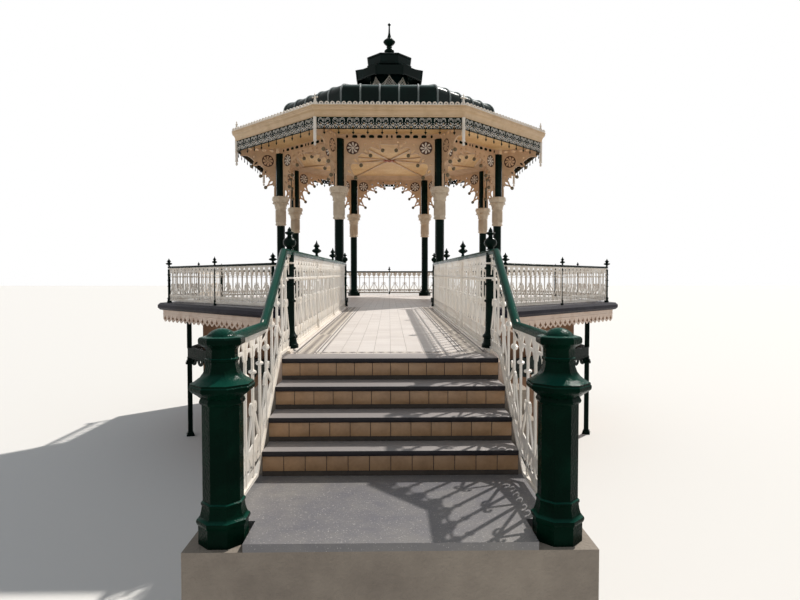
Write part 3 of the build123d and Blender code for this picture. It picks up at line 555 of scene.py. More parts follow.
point_tree, given = start_tree("set_out", {"Piece": "Object", "Material": "Material"})
piece = add_node(point_tree, "GeometryNodeObjectInfo", Object=given["Piece"])["Geometry"]
facing = add_node(point_tree, "GeometryNodeInputNamedAttribute", {"data_type": "FLOAT"}, Name="turn")[0]
end_tree(point_tree, turned_copies(point_tree, given["Geometry"], piece, facing), given["Material"])
print("trees:", row_tree.name, len(row_tree.nodes), "nodes,", point_tree.name, len(point_tree.nodes), "nodes")


# %% Running the trees
def run_tree(tree, mesh, values):
    """Runs a tree on a mesh and returns the plain mesh that comes out."""
    holder = bpy.data.objects.new(tree.name, mesh)
    scene.collection.objects.link(holder)
    modifier = holder.modifiers.new(tree.name, "NODES")
    modifier.node_group = tree
    names = {item.name: item.identifier for item in tree.interface.items_tree if item.in_out == "INPUT"}
    for name, value in values.items():
        modifier[names[name]] = value
    bpy.context.view_layer.update()
    graph = bpy.context.evaluated_depsgraph_get()
    result = bpy.data.meshes.new_from_object(holder.evaluated_get(graph), depsgraph=graph)
    holder.modifiers.remove(modifier)
    bpy.data.objects.remove(holder)
    return result


def cast_row(
    pattern, material, count=1, pitch=0.0, reach=0.0, height=0.0, fall=0.0, turns=sides, first=0, start=None
):
    """A pattern repeated along a side and round the octagon. The row is centred unless it has a start."""
    begin = -count * pitch / 2 if start is None else start
    values = {"Count": count, "Pitch": pitch, "Start": begin + pitch / 2, "Reach": reach, "Height": height}
    values |= {"Fall": fall, "Turns": turns, "First turn": first, "Material": material}
    return run_tree(row_tree, pattern, values)


def set_out(pattern, material, places):
    """A pattern stood on (x, y, z, turn) places."""
    holder = bpy.data.objects.new("pattern", pattern)
    scene.collection.objects.link(holder)
    spots = bpy.data.meshes.new("places")
    spots.from_pydata([place[:3] for place in places], [], [])
    spots.attributes.new("turn", "FLOAT", "POINT").data.foreach_set("value", [place[3] for place in places])
    result = run_tree(point_tree, spots, {"Piece": holder, "Material": material})
    bpy.data.objects.remove(holder)
    return result


def hub_places(first, height=0.0):
    """Eight places on the axis. They face the sides when first is 0, and the corners when it is 0.5."""
    return [(0, 0, height, turn_step * (index + first)) for index in range(sides)]


def corner_places(apothem, height):
    """The octagon's eight corners as places, each facing outwards."""
    radius = apothem * to_corner
    return [(radius * cos(a), radius * sin(a), height, a) for *_, a in hub_places(0.5)]


def finished(name, meshes, nodes, material):
    """Joins meshes into one named piece of the bandstand, in place of the plain nodes it stands for."""
    mesh = together(meshes, name)
    mesh.materials.clear()
    mesh.materials.append(material)
    thing = bpy.data.objects.new(name, mesh)
    scene.collection.objects.link(thing)
    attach(thing, "root")
    if nodes:
        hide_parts(*nodes)
    mesh.calc_loop_triangles()
    print(name, len(mesh.loop_triangles), "triangles")


# %% [markdown]
# Round the deck stands the railing: cast panels between slender posts. One pattern is about 400 mm
# wide and has two bars. The first has a pair of curls with two splayed legs below them, the second is
# plain; both carry a knob. They stand on a plate pierced with hooks and end in a plate with small
# three-cornered holes. It is a casting, so strips and plates of a few faces are true to it, and the
# same pattern serves on the deck, along the bridge and, stretched to fit, down the steps.

# %% Railing pattern
rail_height = 0.924
rail_depth = 0.05
rail_width = 0.062
post_head = rail_height - rail_depth
plinth_top = 0.190
bar_width = 0.028
plate_depth = 0.008
# The lower edge of the head plate from a bar towards the middle of a gap, as (distance, height)
head_edge = ((0.013, 0.69), (0.021, 0.728), (0.046, 0.734), (0.056, 0.756), (0.074, 0.774))
# Thin rails that cross the panels, as (width, height, level)
cross_rails = ((0.026, 0.022, 0.035), (0.016, 0.014, 0.665), (0.030, 0.026, 0.862))
half_round = [(rail_width / 2, 0), *arc(0, 0.019, rail_width / 2, 0, 180, 8), (-rail_width / 2, 0)]


def knob(x, z, radius):
    """A flattened knob on a bar."""
    profile = [(0, -radius * 0.7), (radius, -radius * 0.2), (radius, radius * 0.2), (0, radius * 0.8)]
    return moved(lathe(profile, 6), x, 0, z)


def hook(x, z, way):
    """A slot bent round a scroll."""
    outside = arc(x, z, 0.047, 90 + way * 15, 90 + way * 285, 6)
    return [*outside, *arc(x, z, 0.023, 90 + way * 275, 90 + way * 30, 4)]


def railing_pattern(pitch, foot=0.045):
    """One repeat of the railing, from its foot up to the underside of the handrail."""
    half = pitch / 2
    plinth = [(-half, foot), (half, foot), (half, plinth_top), (-half, plinth_top)]
    hooks = [hook(way * share * half, 0.122, way) for way in (-1, 1) for share in (0.27, 0.73)]
    head = [(half, post_head), (-half, post_head)]
    holes = []
    for middle in (-half / 2, half / 2):
        near = [(middle - half / 2 + aside, height) for aside, height in head_edge]
        head += near + [(2 * middle - x, height) for x, height in near[::-1]]
        holes.append([(middle - 0.047, 0.794), (middle + 0.047, 0.794), (middle, 0.858)])
    pieces = [plate([plinth, *hooks], plate_depth), plate([head, *holes], plate_depth)]
    for x in (0, half):
        pieces += [strip([(x, foot), (x, 0.80)], bar_width, 0.015), knob(x, 0.645, 0.027)]
    for way in (-1, 1):
        curl = arc(way * 0.046, 0.428, 0.034, 90 + way * 80, 90 - way * 140, 6)
        leg = [(way * 0.008, 0.45), (way * half * 0.80, plinth_top)]
        pieces += [strip(leg, 0.022, 0.012), strip(curl, 0.019, 0.016, tip=0.012)]
    return together(pieces)


def bar_section(width, height):
    """A flat rail's section, centred on its path."""
    corners = ((-1, -1), (1, -1), (1, 1), (-1, 1))
    return [(across * width / 2, up * height / 2) for across, up in corners]


# %% Deck railing
coping_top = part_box("deck_coping")[1].z
coping_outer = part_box("deck_coping")[1].x
rail_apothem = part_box("deck_rails")[1].x - rail_width / 2
post_gap = 0.042
side_half = rail_apothem * half_side
bridge_half = 0.92
bays = 6
pitch = (side_half - 2 * post_gap) / bays
front_bays = 4
front_start = bridge_half + post_gap
front_pitch = (side_half - post_gap - front_start) / front_bays
print("railing pitch", round(pitch, 3), "and", round(front_pitch, 3), "m")

deck_rows = []
# Seven whole sides have a post at the middle. The front one stops at the bridge.
for half_row, step, turns, first, starts in (
    (bays, pitch, 7, 1, (post_gap, post_gap - side_half)),
    (front_bays, front_pitch, 1, 0, (front_start, post_gap - side_half)),
):
    for start in starts:
        panels = railing_pattern(step)
        deck_rows.append(cast_row(panels, ivory, half_row, step, rail_apothem, deck, 0, turns, first, start))
for width, height, level in cross_rails:
    line = octagon(rail_apothem, deck + level, bridge_half)
    deck_rows.append(moulding(line, bar_section(width, height)))
finished("deck_railing", deck_rows, ["deck_balustrade"], ivory)
top = octagon(rail_apothem, deck + post_head, bridge_half + rail_width / 2)
finished("deck_handrail", [moulding(top, half_round)], ["deck_rails"], bottle_green)

# %% [markdown]
# The bridge falls a little from the deck to the landing, and its railing falls with it: the row tree
# adds a fall in proportion to the distance along the row, which is a shear, so the bars stay upright.
# Down the steps the foot and the handrail don't run parallel, so each panel there is cast to fit.

# %% Bridge railing
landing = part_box("stair_treads")[1].z
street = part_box("foot_slab")[1].z
bridge_end = -bridge_low
stair_post = 12.466
post_reach = [rail_apothem, 8.372, 10.467, stair_post]
usual_pitch = 0.4
floor_line = [(0, deck), (coping_outer, deck), (bridge_end, landing)]


def level_on(line, reach):
    """Height of a line of (reach, height) points at a distance in front of the centre."""
    for (near, low), (far, high) in zip(line, line[1:]):
        if reach <= far:
            return low + (high - low) * max(reach - near, 0) / (far - near)
    return line[-1][1]


def floor_at(reach):
    """Height of the deck or the bridge floor at a distance in front of the centre."""
    return level_on(floor_line, reach)


def side_path(line, lift=0.0, way=1):
    """A line of (reach, height) points as a path on one side of the bridge."""
    return [(way * bridge_half, -reach, height + lift) for reach, height in line]


def falling_rows(near, far):
    """Rows of panels on both sides of the bridge between two reaches, falling with its floor."""
    count = round((far - near) / usual_pitch)
    step = (far - near) / count
    fall = (floor_at(far) - floor_at(near)) / (far - near)
    level = floor_at(near) - fall * near
    return [
        cast_row(railing_pattern(step), lit_ivory, count, step, bridge_half, level, slope, 1, first, start)
        for first, start, slope in ((2, -far, -fall), (-2, near, fall))
    ]


bridge_rows = []
for near, far in zip(post_reach, post_reach[1:]):
    bridge_rows += falling_rows(near + post_gap, far - post_gap)
panel_line = [(rail_apothem, deck), (coping_outer, deck), (stair_post, floor_at(stair_post))]
for way in (-1, 1):
    for width, height, level in cross_rails:
        bridge_rows.append(moulding(side_path(panel_line, level, way), bar_section(width, height)))
finished("bridge_railing", bridge_rows, ["bridge_balustrades"], lit_ivory)

# %% Stair railing
kerb_height = 0.025
newel_reach = 14.643
# Where the handrail and the foot of the panels bend at the stair head, level out, and meet the newels
rail_bend, rail_landing, rail_end = 12.76, 13.60, newel_reach - 0.115
foot_bend, foot_landing, panel_end = 12.962, 13.87, newel_reach - 0.09
stair_top = street + 1.08
foot_top = street + 0.04
rail_line = [
    (rail_apothem, deck + rail_height), (coping_outer, deck + rail_height),
    (rail_bend, floor_at(rail_bend) + rail_height), (rail_landing, stair_top), (rail_end, stair_top),
]
head_line = [(reach, height - rail_depth) for reach, height in rail_line]
foot_line = [
    (stair_post, landing + kerb_height), (foot_bend, landing + kerb_height), (foot_landing, foot_top),
    (newel_reach, foot_top),
]
# Panels from the stair head down to the newels, as (near, far, count)
stair_runs = ((stair_post + post_gap, 12.87, 1), (12.88, 13.73, 2), (13.74, panel_end, 2))
# Thin rails at the foot and the head, as (width, height, level)
stair_rails = ((0.030, 0.024, 0.012), cross_rails[-1])


def between(reach, level):
    """Height between the foot and the handrail of the steps, for a level on a panel of the deck."""
    low, high = level_on(foot_line, reach), level_on(head_line, reach)
    return low + (high - low) * level / post_head


def fitted_panels(near, far):
    """A pair of panels for the steps, stretched upright between their foot and the handrail."""
    mesh = moved(railing_pattern(far - near, 0.01), x=(near + far) / 2)
    for vert in mesh.vertices:
        vert.co.z = between(vert.co.x, vert.co.z)
    return [moved(mesh, x=way * bridge_half, turn=-pi / 2) for way in (-1, 1)]


stair_rows = []
for near, far, count in stair_runs:
    step = (far - near) / count
    for index in range(count):
        stair_rows += fitted_panels(near + index * step, near + (index + 1) * step)
for width, height, level in stair_rails:
    reaches = (stair_post + post_gap, rail_bend, foot_bend, rail_landing, foot_landing, panel_end)
    line = [(reach, between(reach, level)) for reach in reaches]
    stair_rows += [moulding(side_path(line, 0, way), bar_section(width, height)) for way in (-1, 1)]
finished("stair_railing", stair_rows, ["stair_balustrades"], lit_ivory)
rails = [moulding(side_path(rail_line, -rail_depth, way), half_round) for way in (-1, 1)]
finished("bridge_handrails", rails, ["handrails"], rail_green)

# %% [markdown]
# The posts are turned castings: stout ones at the corners, at the gate and at the stair head, and
# slim stays between them, which along the bridge are painted ivory like the panels. Above the rail
# each carries a spiked bud on a cup, or at the gate and the stair head a flower on an urn.

# %% Posts
collar_levels = (0.43, 0.585, 0.73)
tie_levels = (0.665, 0.80)


def post(radius, foot):
    """A turned post with a moulded foot and three collars."""
    profile = [
        (0, 0), (foot, 0), (foot, 0.030), (foot * 0.84, 0.044), (foot * 0.76, 0.084), (foot * 0.90, 0.096),
        (foot * 0.90, 0.110), (radius * 1.2, 0.132), (radius * 1.05, 0.155),
    ]
    for level in collar_levels:
        profile += [(radius, level - 0.014), (radius * 1.35, level - 0.007)]
        profile += [(radius * 1.35, level + 0.007), (radius, level + 0.014)]
    return lathe([*profile, (radius, post_head), (0, post_head)], 12)


def on_foot(spots):
    """Places for posts: on the coping round the deck, and on the kerb along the bridge."""
    feet = [floor_at(-y) + kerb_height if abs(x) < 1 and y < 0 else coping_top for x, y in spots]
    return [(x, y, foot, 0.0) for (x, y), foot in zip(spots, feet)]


turns = [turn_step * k for k in range(-1, 6)]
middles = [(rail_apothem * cos(turn), rail_apothem * sin(turn)) for turn in turns]
corners = [place[:2] for place in corner_places(rail_apothem, 0)]
deck_gate, stay_posts, stair_gate = (
    [(way * bridge_half, -reach) for reach in reaches for way in (-1, 1)]
    for reaches in (post_reach[:1], post_reach[1:3], post_reach[3:])
)
posts = [
    set_out(post(0.034, 0.060), bottle_green, on_foot(corners + deck_gate)),
    set_out(post(0.041, 0.076), bottle_green, on_foot(stair_gate)),
    set_out(post(0.012, 0.034), bottle_green, on_foot(middles)),
]
finished("railing_posts", posts, ["rail_posts"], bottle_green)
stays = [set_out(post(0.018, 0.036), lit_ivory, on_foot(stay_posts))]
# Ivory ties hold the panels to the posts of the stair head
for level in tie_levels:
    for x, y in stair_gate:
        tie = floor_at(-y) + level
        low, high = (x - 0.046, y - 0.065, tie - 0.008), (x + 0.046, y + 0.065, tie + 0.008)
        stays.append(block(low, high, edge=0.003))
finished("bridge_stays", stays, [], lit_ivory)


# %% Spikes
def spike(width, height, *lines):
    """A turned spike from smooth lines of (radius, level) shares of its half width and its height."""
    profile = [(radius * width / 2, level * height) for line in lines for radius, level in flowing(line, 2)]
    return lathe([(0, 0), *profile], 12)


cup = [(0.46, 0), (0.28, 0.07), (0.32, 0.16), (0.70, 0.22), (1.0, 0.30), (0.96, 0.35)]
bud = [(0.80, 0.40), (0.44, 0.46), (0.38, 0.52), (0.66, 0.60), (0.52, 0.68), (0.24, 0.79), (0, 1.0)]
urn = [(0.62, 0), (0.62, 0.04), (0.42, 0.08), (0.86, 0.18), (1.0, 0.30), (0.90, 0.42), (0.50, 0.52)]
flower = [(0.32, 0.58), (0.36, 0.64), (0.74, 0.71), (0.70, 0.75), (0.34, 0.79), (0.30, 0.86), (0, 1.0)]
spikes = []
for shape, spots in (
    (spike(0.118, 0.200, cup, bud), middles + stay_posts),
    (spike(0.168, 0.215, cup, bud), corners),
    (spike(0.118, 0.210, urn, flower), deck_gate + stair_gate),
):
    places = [(x, y, floor_at(-y) + rail_height, 0.0) for x, y in spots]
    spikes.append(set_out(shape, bottle_green, places))
finished("railing_spikes", spikes, ["rail_spikes"], bottle_green)

# %% [markdown]
# Under the coping hangs a pierced fringe: a plain band above, a row of lozenges and a lower edge
# cut to points. A plate with its holes is what a flat 2D curve gives when it is filled and extruded.

# %% Deck fringe
fringe_low, fringe_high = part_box("deck_fringe")
fringe_reach = fringe_high.x - 0.01
fringe_height = fringe_high.z - fringe_low.z
fringe_half = fringe_reach * half_side
fringe_gap = bridge_half + 0.043
fringe_count = 22
front_count = 7


def fringe_pattern(width):
    """One repeat of the fringe, with its point and its lozenge."""
    half = width / 2
    outline = [(-half, 0.072), (-half * 0.25, 0.010), (0, 0), (half * 0.25, 0.010), (half, 0.072)]
    outline += [(half, fringe_height), (-half, fringe_height)]
    lozenge = [(0, 0.036), (0.060, 0.092), (0.024, 0.122), (0, 0.170), (-0.024, 0.122), (-0.060, 0.092)]
    return plate([outline, lozenge], 0.018)


rows = []
front_length = fringe_half - fringe_gap
for count, length, turns, first, start in (
    (fringe_count, 2 * fringe_half, 7, 1, None),
    (front_count, front_length, 1, 0, fringe_gap),
    (front_count, front_length, 1, 0, -fringe_half),
):
    step = length / count
    tooth = fringe_pattern(step)
    rows.append(cast_row(tooth, rose_cream, count, step, fringe_reach, fringe_low.z, 0, turns, first, start))
bead = [(-0.005, -0.012), (0.010, -0.012), (0.016, 0), (0.010, 0.012), (-0.005, 0.012)]
bead_levels = (0.20, 0.295)
for level in bead_levels:
    rows.append(moulding(octagon(fringe_reach, fringe_low.z + level, fringe_gap), bead))
finished("pierced_fringe", rows, ["deck_fringe"], rose_cream)

# %% [markdown]
# Each column starts from a square plinth and a moulded base, and ends in a faceted bell capital.
# Eight flat faces were easy to cast and catch the light, so these are turned with eight sides: the
# crease angle keeps the arrises sharp while the mouldings stay smooth.

# %% Capitals and bases
column_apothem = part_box("arch_beams")[1].x - 0.03
capital_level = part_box("capitals")[0].z


def on_columns(mesh, material, level=deck):
    """A casting at each of the eight columns, facing outwards."""
    return set_out(mesh, material, corner_places(column_apothem, level))


capital_profile = [
    (0, 0), (0.112, 0), (0.112, 0.012), (0.140, 0.022), (0.144, 0.040), (0.140, 0.058), (0.130, 0.068),
    (0.130, 0.46), (0.138, 0.468), (0.150, 0.482), (0.152, 0.5), (0.146, 0.515), (0.140, 0.525),
    (0.146, 0.56), (0.160, 0.60), (0.182, 0.64), (0.198, 0.665), (0.204, 0.685), (0.204, 0.70),
    (0.220, 0.708), (0.225, 0.72), (0.225, 0.775), (0.216, 0.785), (0.216, 0.81), (0, 0.81),
]
neck_panel = [(-0.034, 0.11), (0.034, 0.11), (0.034, 0.40), (0.018, 0.44), (-0.018, 0.44), (-0.034, 0.40)]
leaf = flowing([(0.128, 0.475), (0.150, 0.56), (0.186, 0.635), (0.212, 0.640), (0.220, 0.615)], 3)
capital = [faceted(capital_profile)]
for side in range(sides):
    facing = turn_step * side
    panel = [strip(neck_panel, 0.014, 0.022, closed=True), strip([(0, 0.12), (0, 0.42)], 0.012, 0.020)]
    capital.append(moved(moved(together(panel), y=-0.131), turn=facing))
    capital.append(moved(strip(leaf, 0.018, 0.085, tip=0.012), turn=facing))
    capital.append(moved(strip(leaf[:-3], 0.014, 0.040, tip=0.010), x=0.012, turn=facing + turn_step / 2))
capitals = on_columns(together(capital), shaded_cream, capital_level)
finished("bell_capitals", [capitals], ["capitals"], shaded_cream)

base_profile = [
    (0, 0.10), (0.150, 0.10), (0.150, 0.135), (0.156, 0.145), (0.156, 0.162), (0.146, 0.172),
    (0.128, 0.178), (0.120, 0.190), (0.124, 0.200), (0.130, 0.206), (0.130, 0.216), (0.118, 0.230),
    (0, 0.230),
]
plinth = block((-0.165, -0.165, 0), (0.165, 0.165, 0.12), edge=0.008)
bases = on_columns(together([plinth, faceted(base_profile)]), bottle_green)
finished("moulded_bases", [bases], ["column_bases"], bottle_green)

# %% [markdown]
# The glory of the pavilion is its fretwork: two cusped plates in every arch and one in every
# bracket, each with a rosette. Their lower edge is the same line, so it is written once, as a
# function: a strip up the shaft, then curved teeth, each ending in a ball, with hollows between.
# All its points are (distance from the column's axis, height over the deck).

# %% Fretwork outline
cusp_roots = ((0.257, 3.290), (0.407, 3.570), (0.667, 3.800), (0.967, 3.925))
cusp_tips = ((0.419, 3.140), (0.555, 3.446), (0.792, 3.690), (1.097, 3.820))
strip_foot, strip_bend, strip_head = 2.90, 3.05, 3.12
strip_width = 0.045
# Half widths of a tooth at its root, its waist and the neck of its ball, and how far out they lie
tooth_half, waist_half, neck_half = 0.065, 0.022, 0.012
flare_reach, waist_reach = 0.03, 0.10
hollow_share = 0.22
crown = 3.965
rosette_at = (0.350, 3.880)
rosette_hole = 0.165
ball_radius = 0.050
fret_thickness, fret_bead = 0.026, 0.042
# Round holes with a lobe ring, as (x, height, radius): two below in both plates, then each one's own
low_lobes = [(0.232, 3.465, 0.026), (0.505, 3.735, 0.026)]
arch_lobes = [*low_lobes, (0.660, 3.960, 0.030), (0.860, 4.010, 0.030), (1.050, 4.025, 0.026)]
bracket_lobes = [*low_lobes, (0.730, 3.960, 0.028)]
leaf_outline = (
    (-0.055, 0), (-0.02, 0.022), (0.015, 0.026), (0.05, 0.012), (0.085, 0), (0.05, -0.012),
    (0.015, -0.026), (-0.02, -0.022),
)
petal_outline = (
    (0.022, -0.012), (0.066, -0.028), (0.104, -0.038), (0.132, -0.025), (0.142, 0.006), (0.126, 0.030),
    (0.092, 0.022), (0.058, 0.006), (0.022, 0.004),
)


def cusp_frame(root, tip):
    """A cusp's root, its direction, and the direction across it."""
    along = (Vector(tip) - Vector(root)).normalized()
    return Vector(root), along, Vector((-along.y, along.x))


def fret_edge(near, cusps):
    """The lower edge of the fretwork from the shaft outwards, through a number of cusps."""
    shaft = near + strip_width
    edge = [(near, strip_foot), (shaft, strip_foot), (shaft, strip_bend)]
    last = Vector((shaft, strip_head))
    for place, tip in zip(cusp_roots[:cusps], cusp_tips):
        root, along, across = cusp_frame(place, tip)
        low, high = root - across * tooth_half, root + across * tooth_half
        hollow = (last + low) / 2 + Vector((last.y - low.y, low.x - last.x)) * hollow_share
        neck = Vector(tip) - along * ball_radius
        waist = root + along * waist_reach
        flare = along * flare_reach
        for steps, line in (
            (3, (last, hollow, low)),
            (2, (low + flare, waist - across * waist_half, neck - across * neck_half)),
            (2, (neck + across * neck_half, waist + across * waist_half, high + flare)),
        ):
            edge += flowing([tuple(point) for point in line], steps)
        last = high
    return edge, tuple(last)


def leaf_hole(place, tip):
    """A pointed hole in the middle of a cusp."""
    root, along, across = cusp_frame(place, tip)
    return [tuple(root + along * reach + across * aside) for reach, aside in leaf_outline]


def top_oval(x, head):
    """An oval hole under the head of a bracket."""
    return [(x + 0.5 * a, head - 0.055 + 0.25 * b) for a, b in arc(0, 0, 0.13, 0, 330, 11)]


def fret_plate(near, far, head, cusps, lobes, ovals=()):
    """One fretwork plate with its rosette hole, leaf holes, lobe rings, top ovals and edge bead."""
    edge, last = fret_edge(near, cusps)
    edge += flowing([last, ((last[0] + far) / 2, crown + 0.012), (far, crown)], 3)
    holes = [arc(*rosette_at, rosette_hole, 0, 345, 23)]
    holes += [leaf_hole(*cusp) for cusp in list(zip(cusp_roots, cusp_tips))[:cusps]]
    holes += [arc(x, z, radius, 0, 315, 7) for x, z, radius in lobes]
    holes += [top_oval(x, head) for x in ovals]
    pieces = [plate([[*edge, (far, head), (near, head)], *holes], fret_thickness, edge=0.004)]
    pieces.append(strip(edge[1:], 0.016, fret_bead))
    for x, z, radius in lobes:
        pieces.append(strip(arc(x, z, radius + 0.009, 0, 315, 7), 0.013, fret_bead, closed=True))
    return together(pieces)


def rosette(spread):
    """A flower of eight swirled petals round a boss, with their spread as a share of the full width."""
    blade = plate([[(reach, spread * aside) for reach, aside in petal_outline]], 0.024, edge=0.004)
    x, z = rosette_at
    petals = [ball(x, z, 0.032)]
    for petal in range(8):
        turned = blade.copy()
        turned.transform(Matrix.Translation((x, 0, z)) @ Matrix.Rotation(turn_step * petal, 4, "Y"))
        petals.append(turned)
    return together(petals)


def rosette_back():
    """The red sheet behind the petals."""
    return plate([arc(*rosette_at, rosette_hole + 0.003, 0, 345, 23)], 0.008)


def cusp_balls(cusps):
    """The balls on the tips of the cusps."""
    return together([ball(x, z, ball_radius) for x, z in cusp_tips[:cusps]])


# %% Arches and brackets
shaft_half = 0.118
shaft_low, shaft_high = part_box("upper_shafts")
column_half = column_apothem * half_side
arch_head, arch_cusps = 4.095, 4
bracket_head, bracket_cusps = 4.215, 3
bracket_end = (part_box("ceiling")[1].x - column_apothem) * to_corner


def in_arches(mesh, material):
    """A casting and its mirror image, at the two ends of every bay."""
    left = moved(mesh, x=-column_half)
    right = left.copy()
    right.transform(Matrix.Scale(-1, 4, (1, 0, 0)))
    right.flip_normals()
    return cast_row(together([left, right]), material, reach=column_apothem, height=deck)


shafts = on_columns(prism(shaft_half, 0, shaft_high.z - shaft_low.z), bottle_green, shaft_low.z)
finished("upper_columns", [shafts], ["upper_shafts"], bottle_green)
arch_near = (shaft_half + 0.004) * to_corner
arches = in_arches(fret_plate(arch_near, column_half, arch_head, arch_cusps, arch_lobes), shaded_ivory)
finished("arch_fretwork", [arches], ["arch_frets"], shaded_ivory)
ovals = (0.25, 0.45, 0.65, 0.85)
bracket = fret_plate(shaft_half + 0.012, bracket_end, bracket_head, bracket_cusps, bracket_lobes, ovals)
finished("eaves_fretwork", [on_columns(bracket, shaded_ivory)], ["eaves_brackets"], shaded_ivory)
finished("rosettes", [in_arches(rosette(0.74), ivory)], [], ivory)
finished("bracket_rosettes", [on_columns(rosette(1.0), shaded_ivory)], [], shaded_ivory)
backs = [in_arches(rosette_back(), oxide_red), on_columns(rosette_back(), oxide_red)]
finished("rosette_backs", backs, [], oxide_red)
arch_balls = in_arches(cusp_balls(arch_cusps), bronze_green)
bracket_balls = on_columns(cusp_balls(bracket_cusps), bronze_green)
finished("cusp_balls", [arch_balls, bracket_balls], [], bronze_green)

# %% [markdown]
# A deep beam joins the columns over the arches. Its faces carry a row of ovals between two
# fillets. Plain slots run through the beam behind the wide ones; a dark sheet inside the beam is
# painted shade seen through them, and thin dark plates on the faces paint the ovals' shade and
# give them all their oval outline.

# %% Beam mouldings
beam_base, beam_top = (corner.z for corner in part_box("arch_beams"))
slot_shade_level = beam_base + (beam_top - beam_base) * 0.4
oval_level = beam_base + 0.062
oval_height = 0.080
# Ovals from the middle of a bay outwards, as (place, width)
oval_places = ((0.06, 0.05), *[(0.237 + 0.21 * k, 0.138) for k in range(4)], (1.06, 0.06))
lower_fillet = band(column_apothem, beam_base + 0.012, bar_section(0.084, 0.02))
upper_fillet = band(column_apothem, beam_top - 0.010, bar_section(0.100, 0.02))
finished("beam_mouldings", [lower_fillet, upper_fillet], [], shaded_ivory)
# Painted shade: a dark sheet inside the beam stands for the shade seen through the slots
slot_shade = [band(column_apothem, slot_shade_level, bar_section(0.008, 0.075))]
# Painted shade: thin dark plates on both faces paint the ovals dark
for face in (-1, 1):
    slots = []
    for way in (-1, 1):
        for place, width in oval_places:
            oval = [(way * place + x * width, z * oval_height) for x, z in arc(0, 0, 0.5, 0, 330, 11)]
            slots.append(plate([oval], 0.002))
    reach = column_apothem + face * 0.031
    slot_shade.append(cast_row(together(slots), bottle_green, reach=reach, height=oval_level))
finished("beam_web", slot_shade, [], bottle_green)

# %% [markdown]
# Looking up, the ceiling is boarded parallel to the eight sides. The boards run on over the beams
# and out to the gutter, ribs cover the joints at the corners, a stepped cornice runs inside the
# beams, and a small red star marks the centre.

# %% Ceiling boards
ceiling_low, ceiling_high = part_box("ceiling")
middle_board = 0.25
usual_board = 0.135
board_thickness = 0.03
board_edge = 0.008
half_gap = 0.003
count = int((ceiling_high.x - middle_board) / usual_board)
board = (ceiling_high.x - middle_board) / count
section = [
    (half_gap, board_edge), (board_edge + half_gap, 0), (board - board_edge - half_gap, 0),
    (board - half_gap, board_edge), (board - half_gap, board_thickness), (half_gap, board_thickness),
]
boards = [band(middle_board + board * step, ceiling_low.z, section) for step in range(count)]
boards.append(moved(prism(middle_board, 0, board_thickness), z=ceiling_low.z))
boards.append(moved(prism(ceiling_high.x, 0.028, 0.04), z=ceiling_low.z))
finished("ceiling_boards", boards, ["ceiling"], soffit_board)

# %% Ceiling ribs and star
rib = block((0.16, -0.03, -0.035), ((column_apothem - 0.05) * to_corner, 0.03, 0.0), edge=0.006)
ribs = set_out(rib, shaded_ivory, hub_places(0.5, ceiling_low.z))
cornice = [
    (-0.34, 0), (-0.32, -0.022), (-0.25, -0.022), (-0.24, -0.045), (-0.17, -0.045), (-0.155, -0.075),
    (-0.09, -0.080), (-0.07, -0.110), (-0.031, -0.110), (-0.031, 0),
]
cornice_band = band(column_apothem, ceiling_low.z, cornice)
finished("ceiling_ribs", [ribs, cornice_band], [], shaded_ivory)
star_radii = (0.20, 0.085)
star_turns = [(star_radii[k % 2], pi * k / 8) for k in range(16)]
star = plate([[(radius * cos(turn), radius * sin(turn)) for radius, turn in star_turns]], 0.03, edge=0.004)
star.transform(Matrix.Translation((0, 0, ceiling_low.z - 0.04)) @ Matrix.Rotation(pi / 2, 4, "X"))
boss = lathe([(0, -0.04), (0.05, -0.04), (0.05, -0.025), (0.03, -0.004), (0, 0.0)], 16)
finished("ceiling_star", [star, moved(boss, z=ceiling_low.z - 0.03)], [], star_red)

# %% [markdown]
# The eaves carry an ogee gutter with a crest of half-round hoops along its lip, a spire at every
# corner, and below it a dark lace valance between pale corner posts.

# %% Gutter and cresting
gutter_low, gutter_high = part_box("gutter")
eaves = gutter_high.x - 0.045
ogee = flowing([(-0.040, 0.042), (-0.034, 0.085), (-0.012, 0.125), (0.018, 0.152), (0.030, 0.188)], 3)
gutter_section = [
    (-0.16, 0), (-0.046, 0), (-0.036, 0.006), (-0.033, 0.018), (-0.038, 0.028), (-0.046, 0.032), *ogee,
    (0.040, 0.194), (0.040, 0.210), (0.032, 0.215), (0.032, 0.226), (0.045, 0.232), (0.045, 0.254),
    (0.036, 0.26), (-0.16, 0.26),
]
finished("ogee_gutter", [band(eaves, gutter_low.z, gutter_section)], ["gutter"], buff)
crest_reach = eaves + 0.025
crest_count = 27
crest_pitch = 2 * crest_reach * half_side / crest_count
crest_half = crest_pitch / 2
crest_radius = crest_half * 0.86
hoop_level = 0.018
hoop = arc(0, hoop_level, crest_radius, 0, 180, 7)
crest_outline = [(-crest_half, 0), (crest_half, 0), (crest_half, 0.010), *hoop, (-crest_half, 0.010)]
crest = [plate([crest_outline, arc(0, 0.034, 0.018, 0, 288, 4)], 0.014)]
crest.append(strip(arc(0, hoop_level, crest_radius - 0.006, 0, 180, 5), 0.012, 0.030))
cresting = cast_row(together(crest), ivory, crest_count, crest_pitch, crest_reach, gutter_high.z)
finished("scalloped_cresting", [cresting], ["cresting"], ivory)

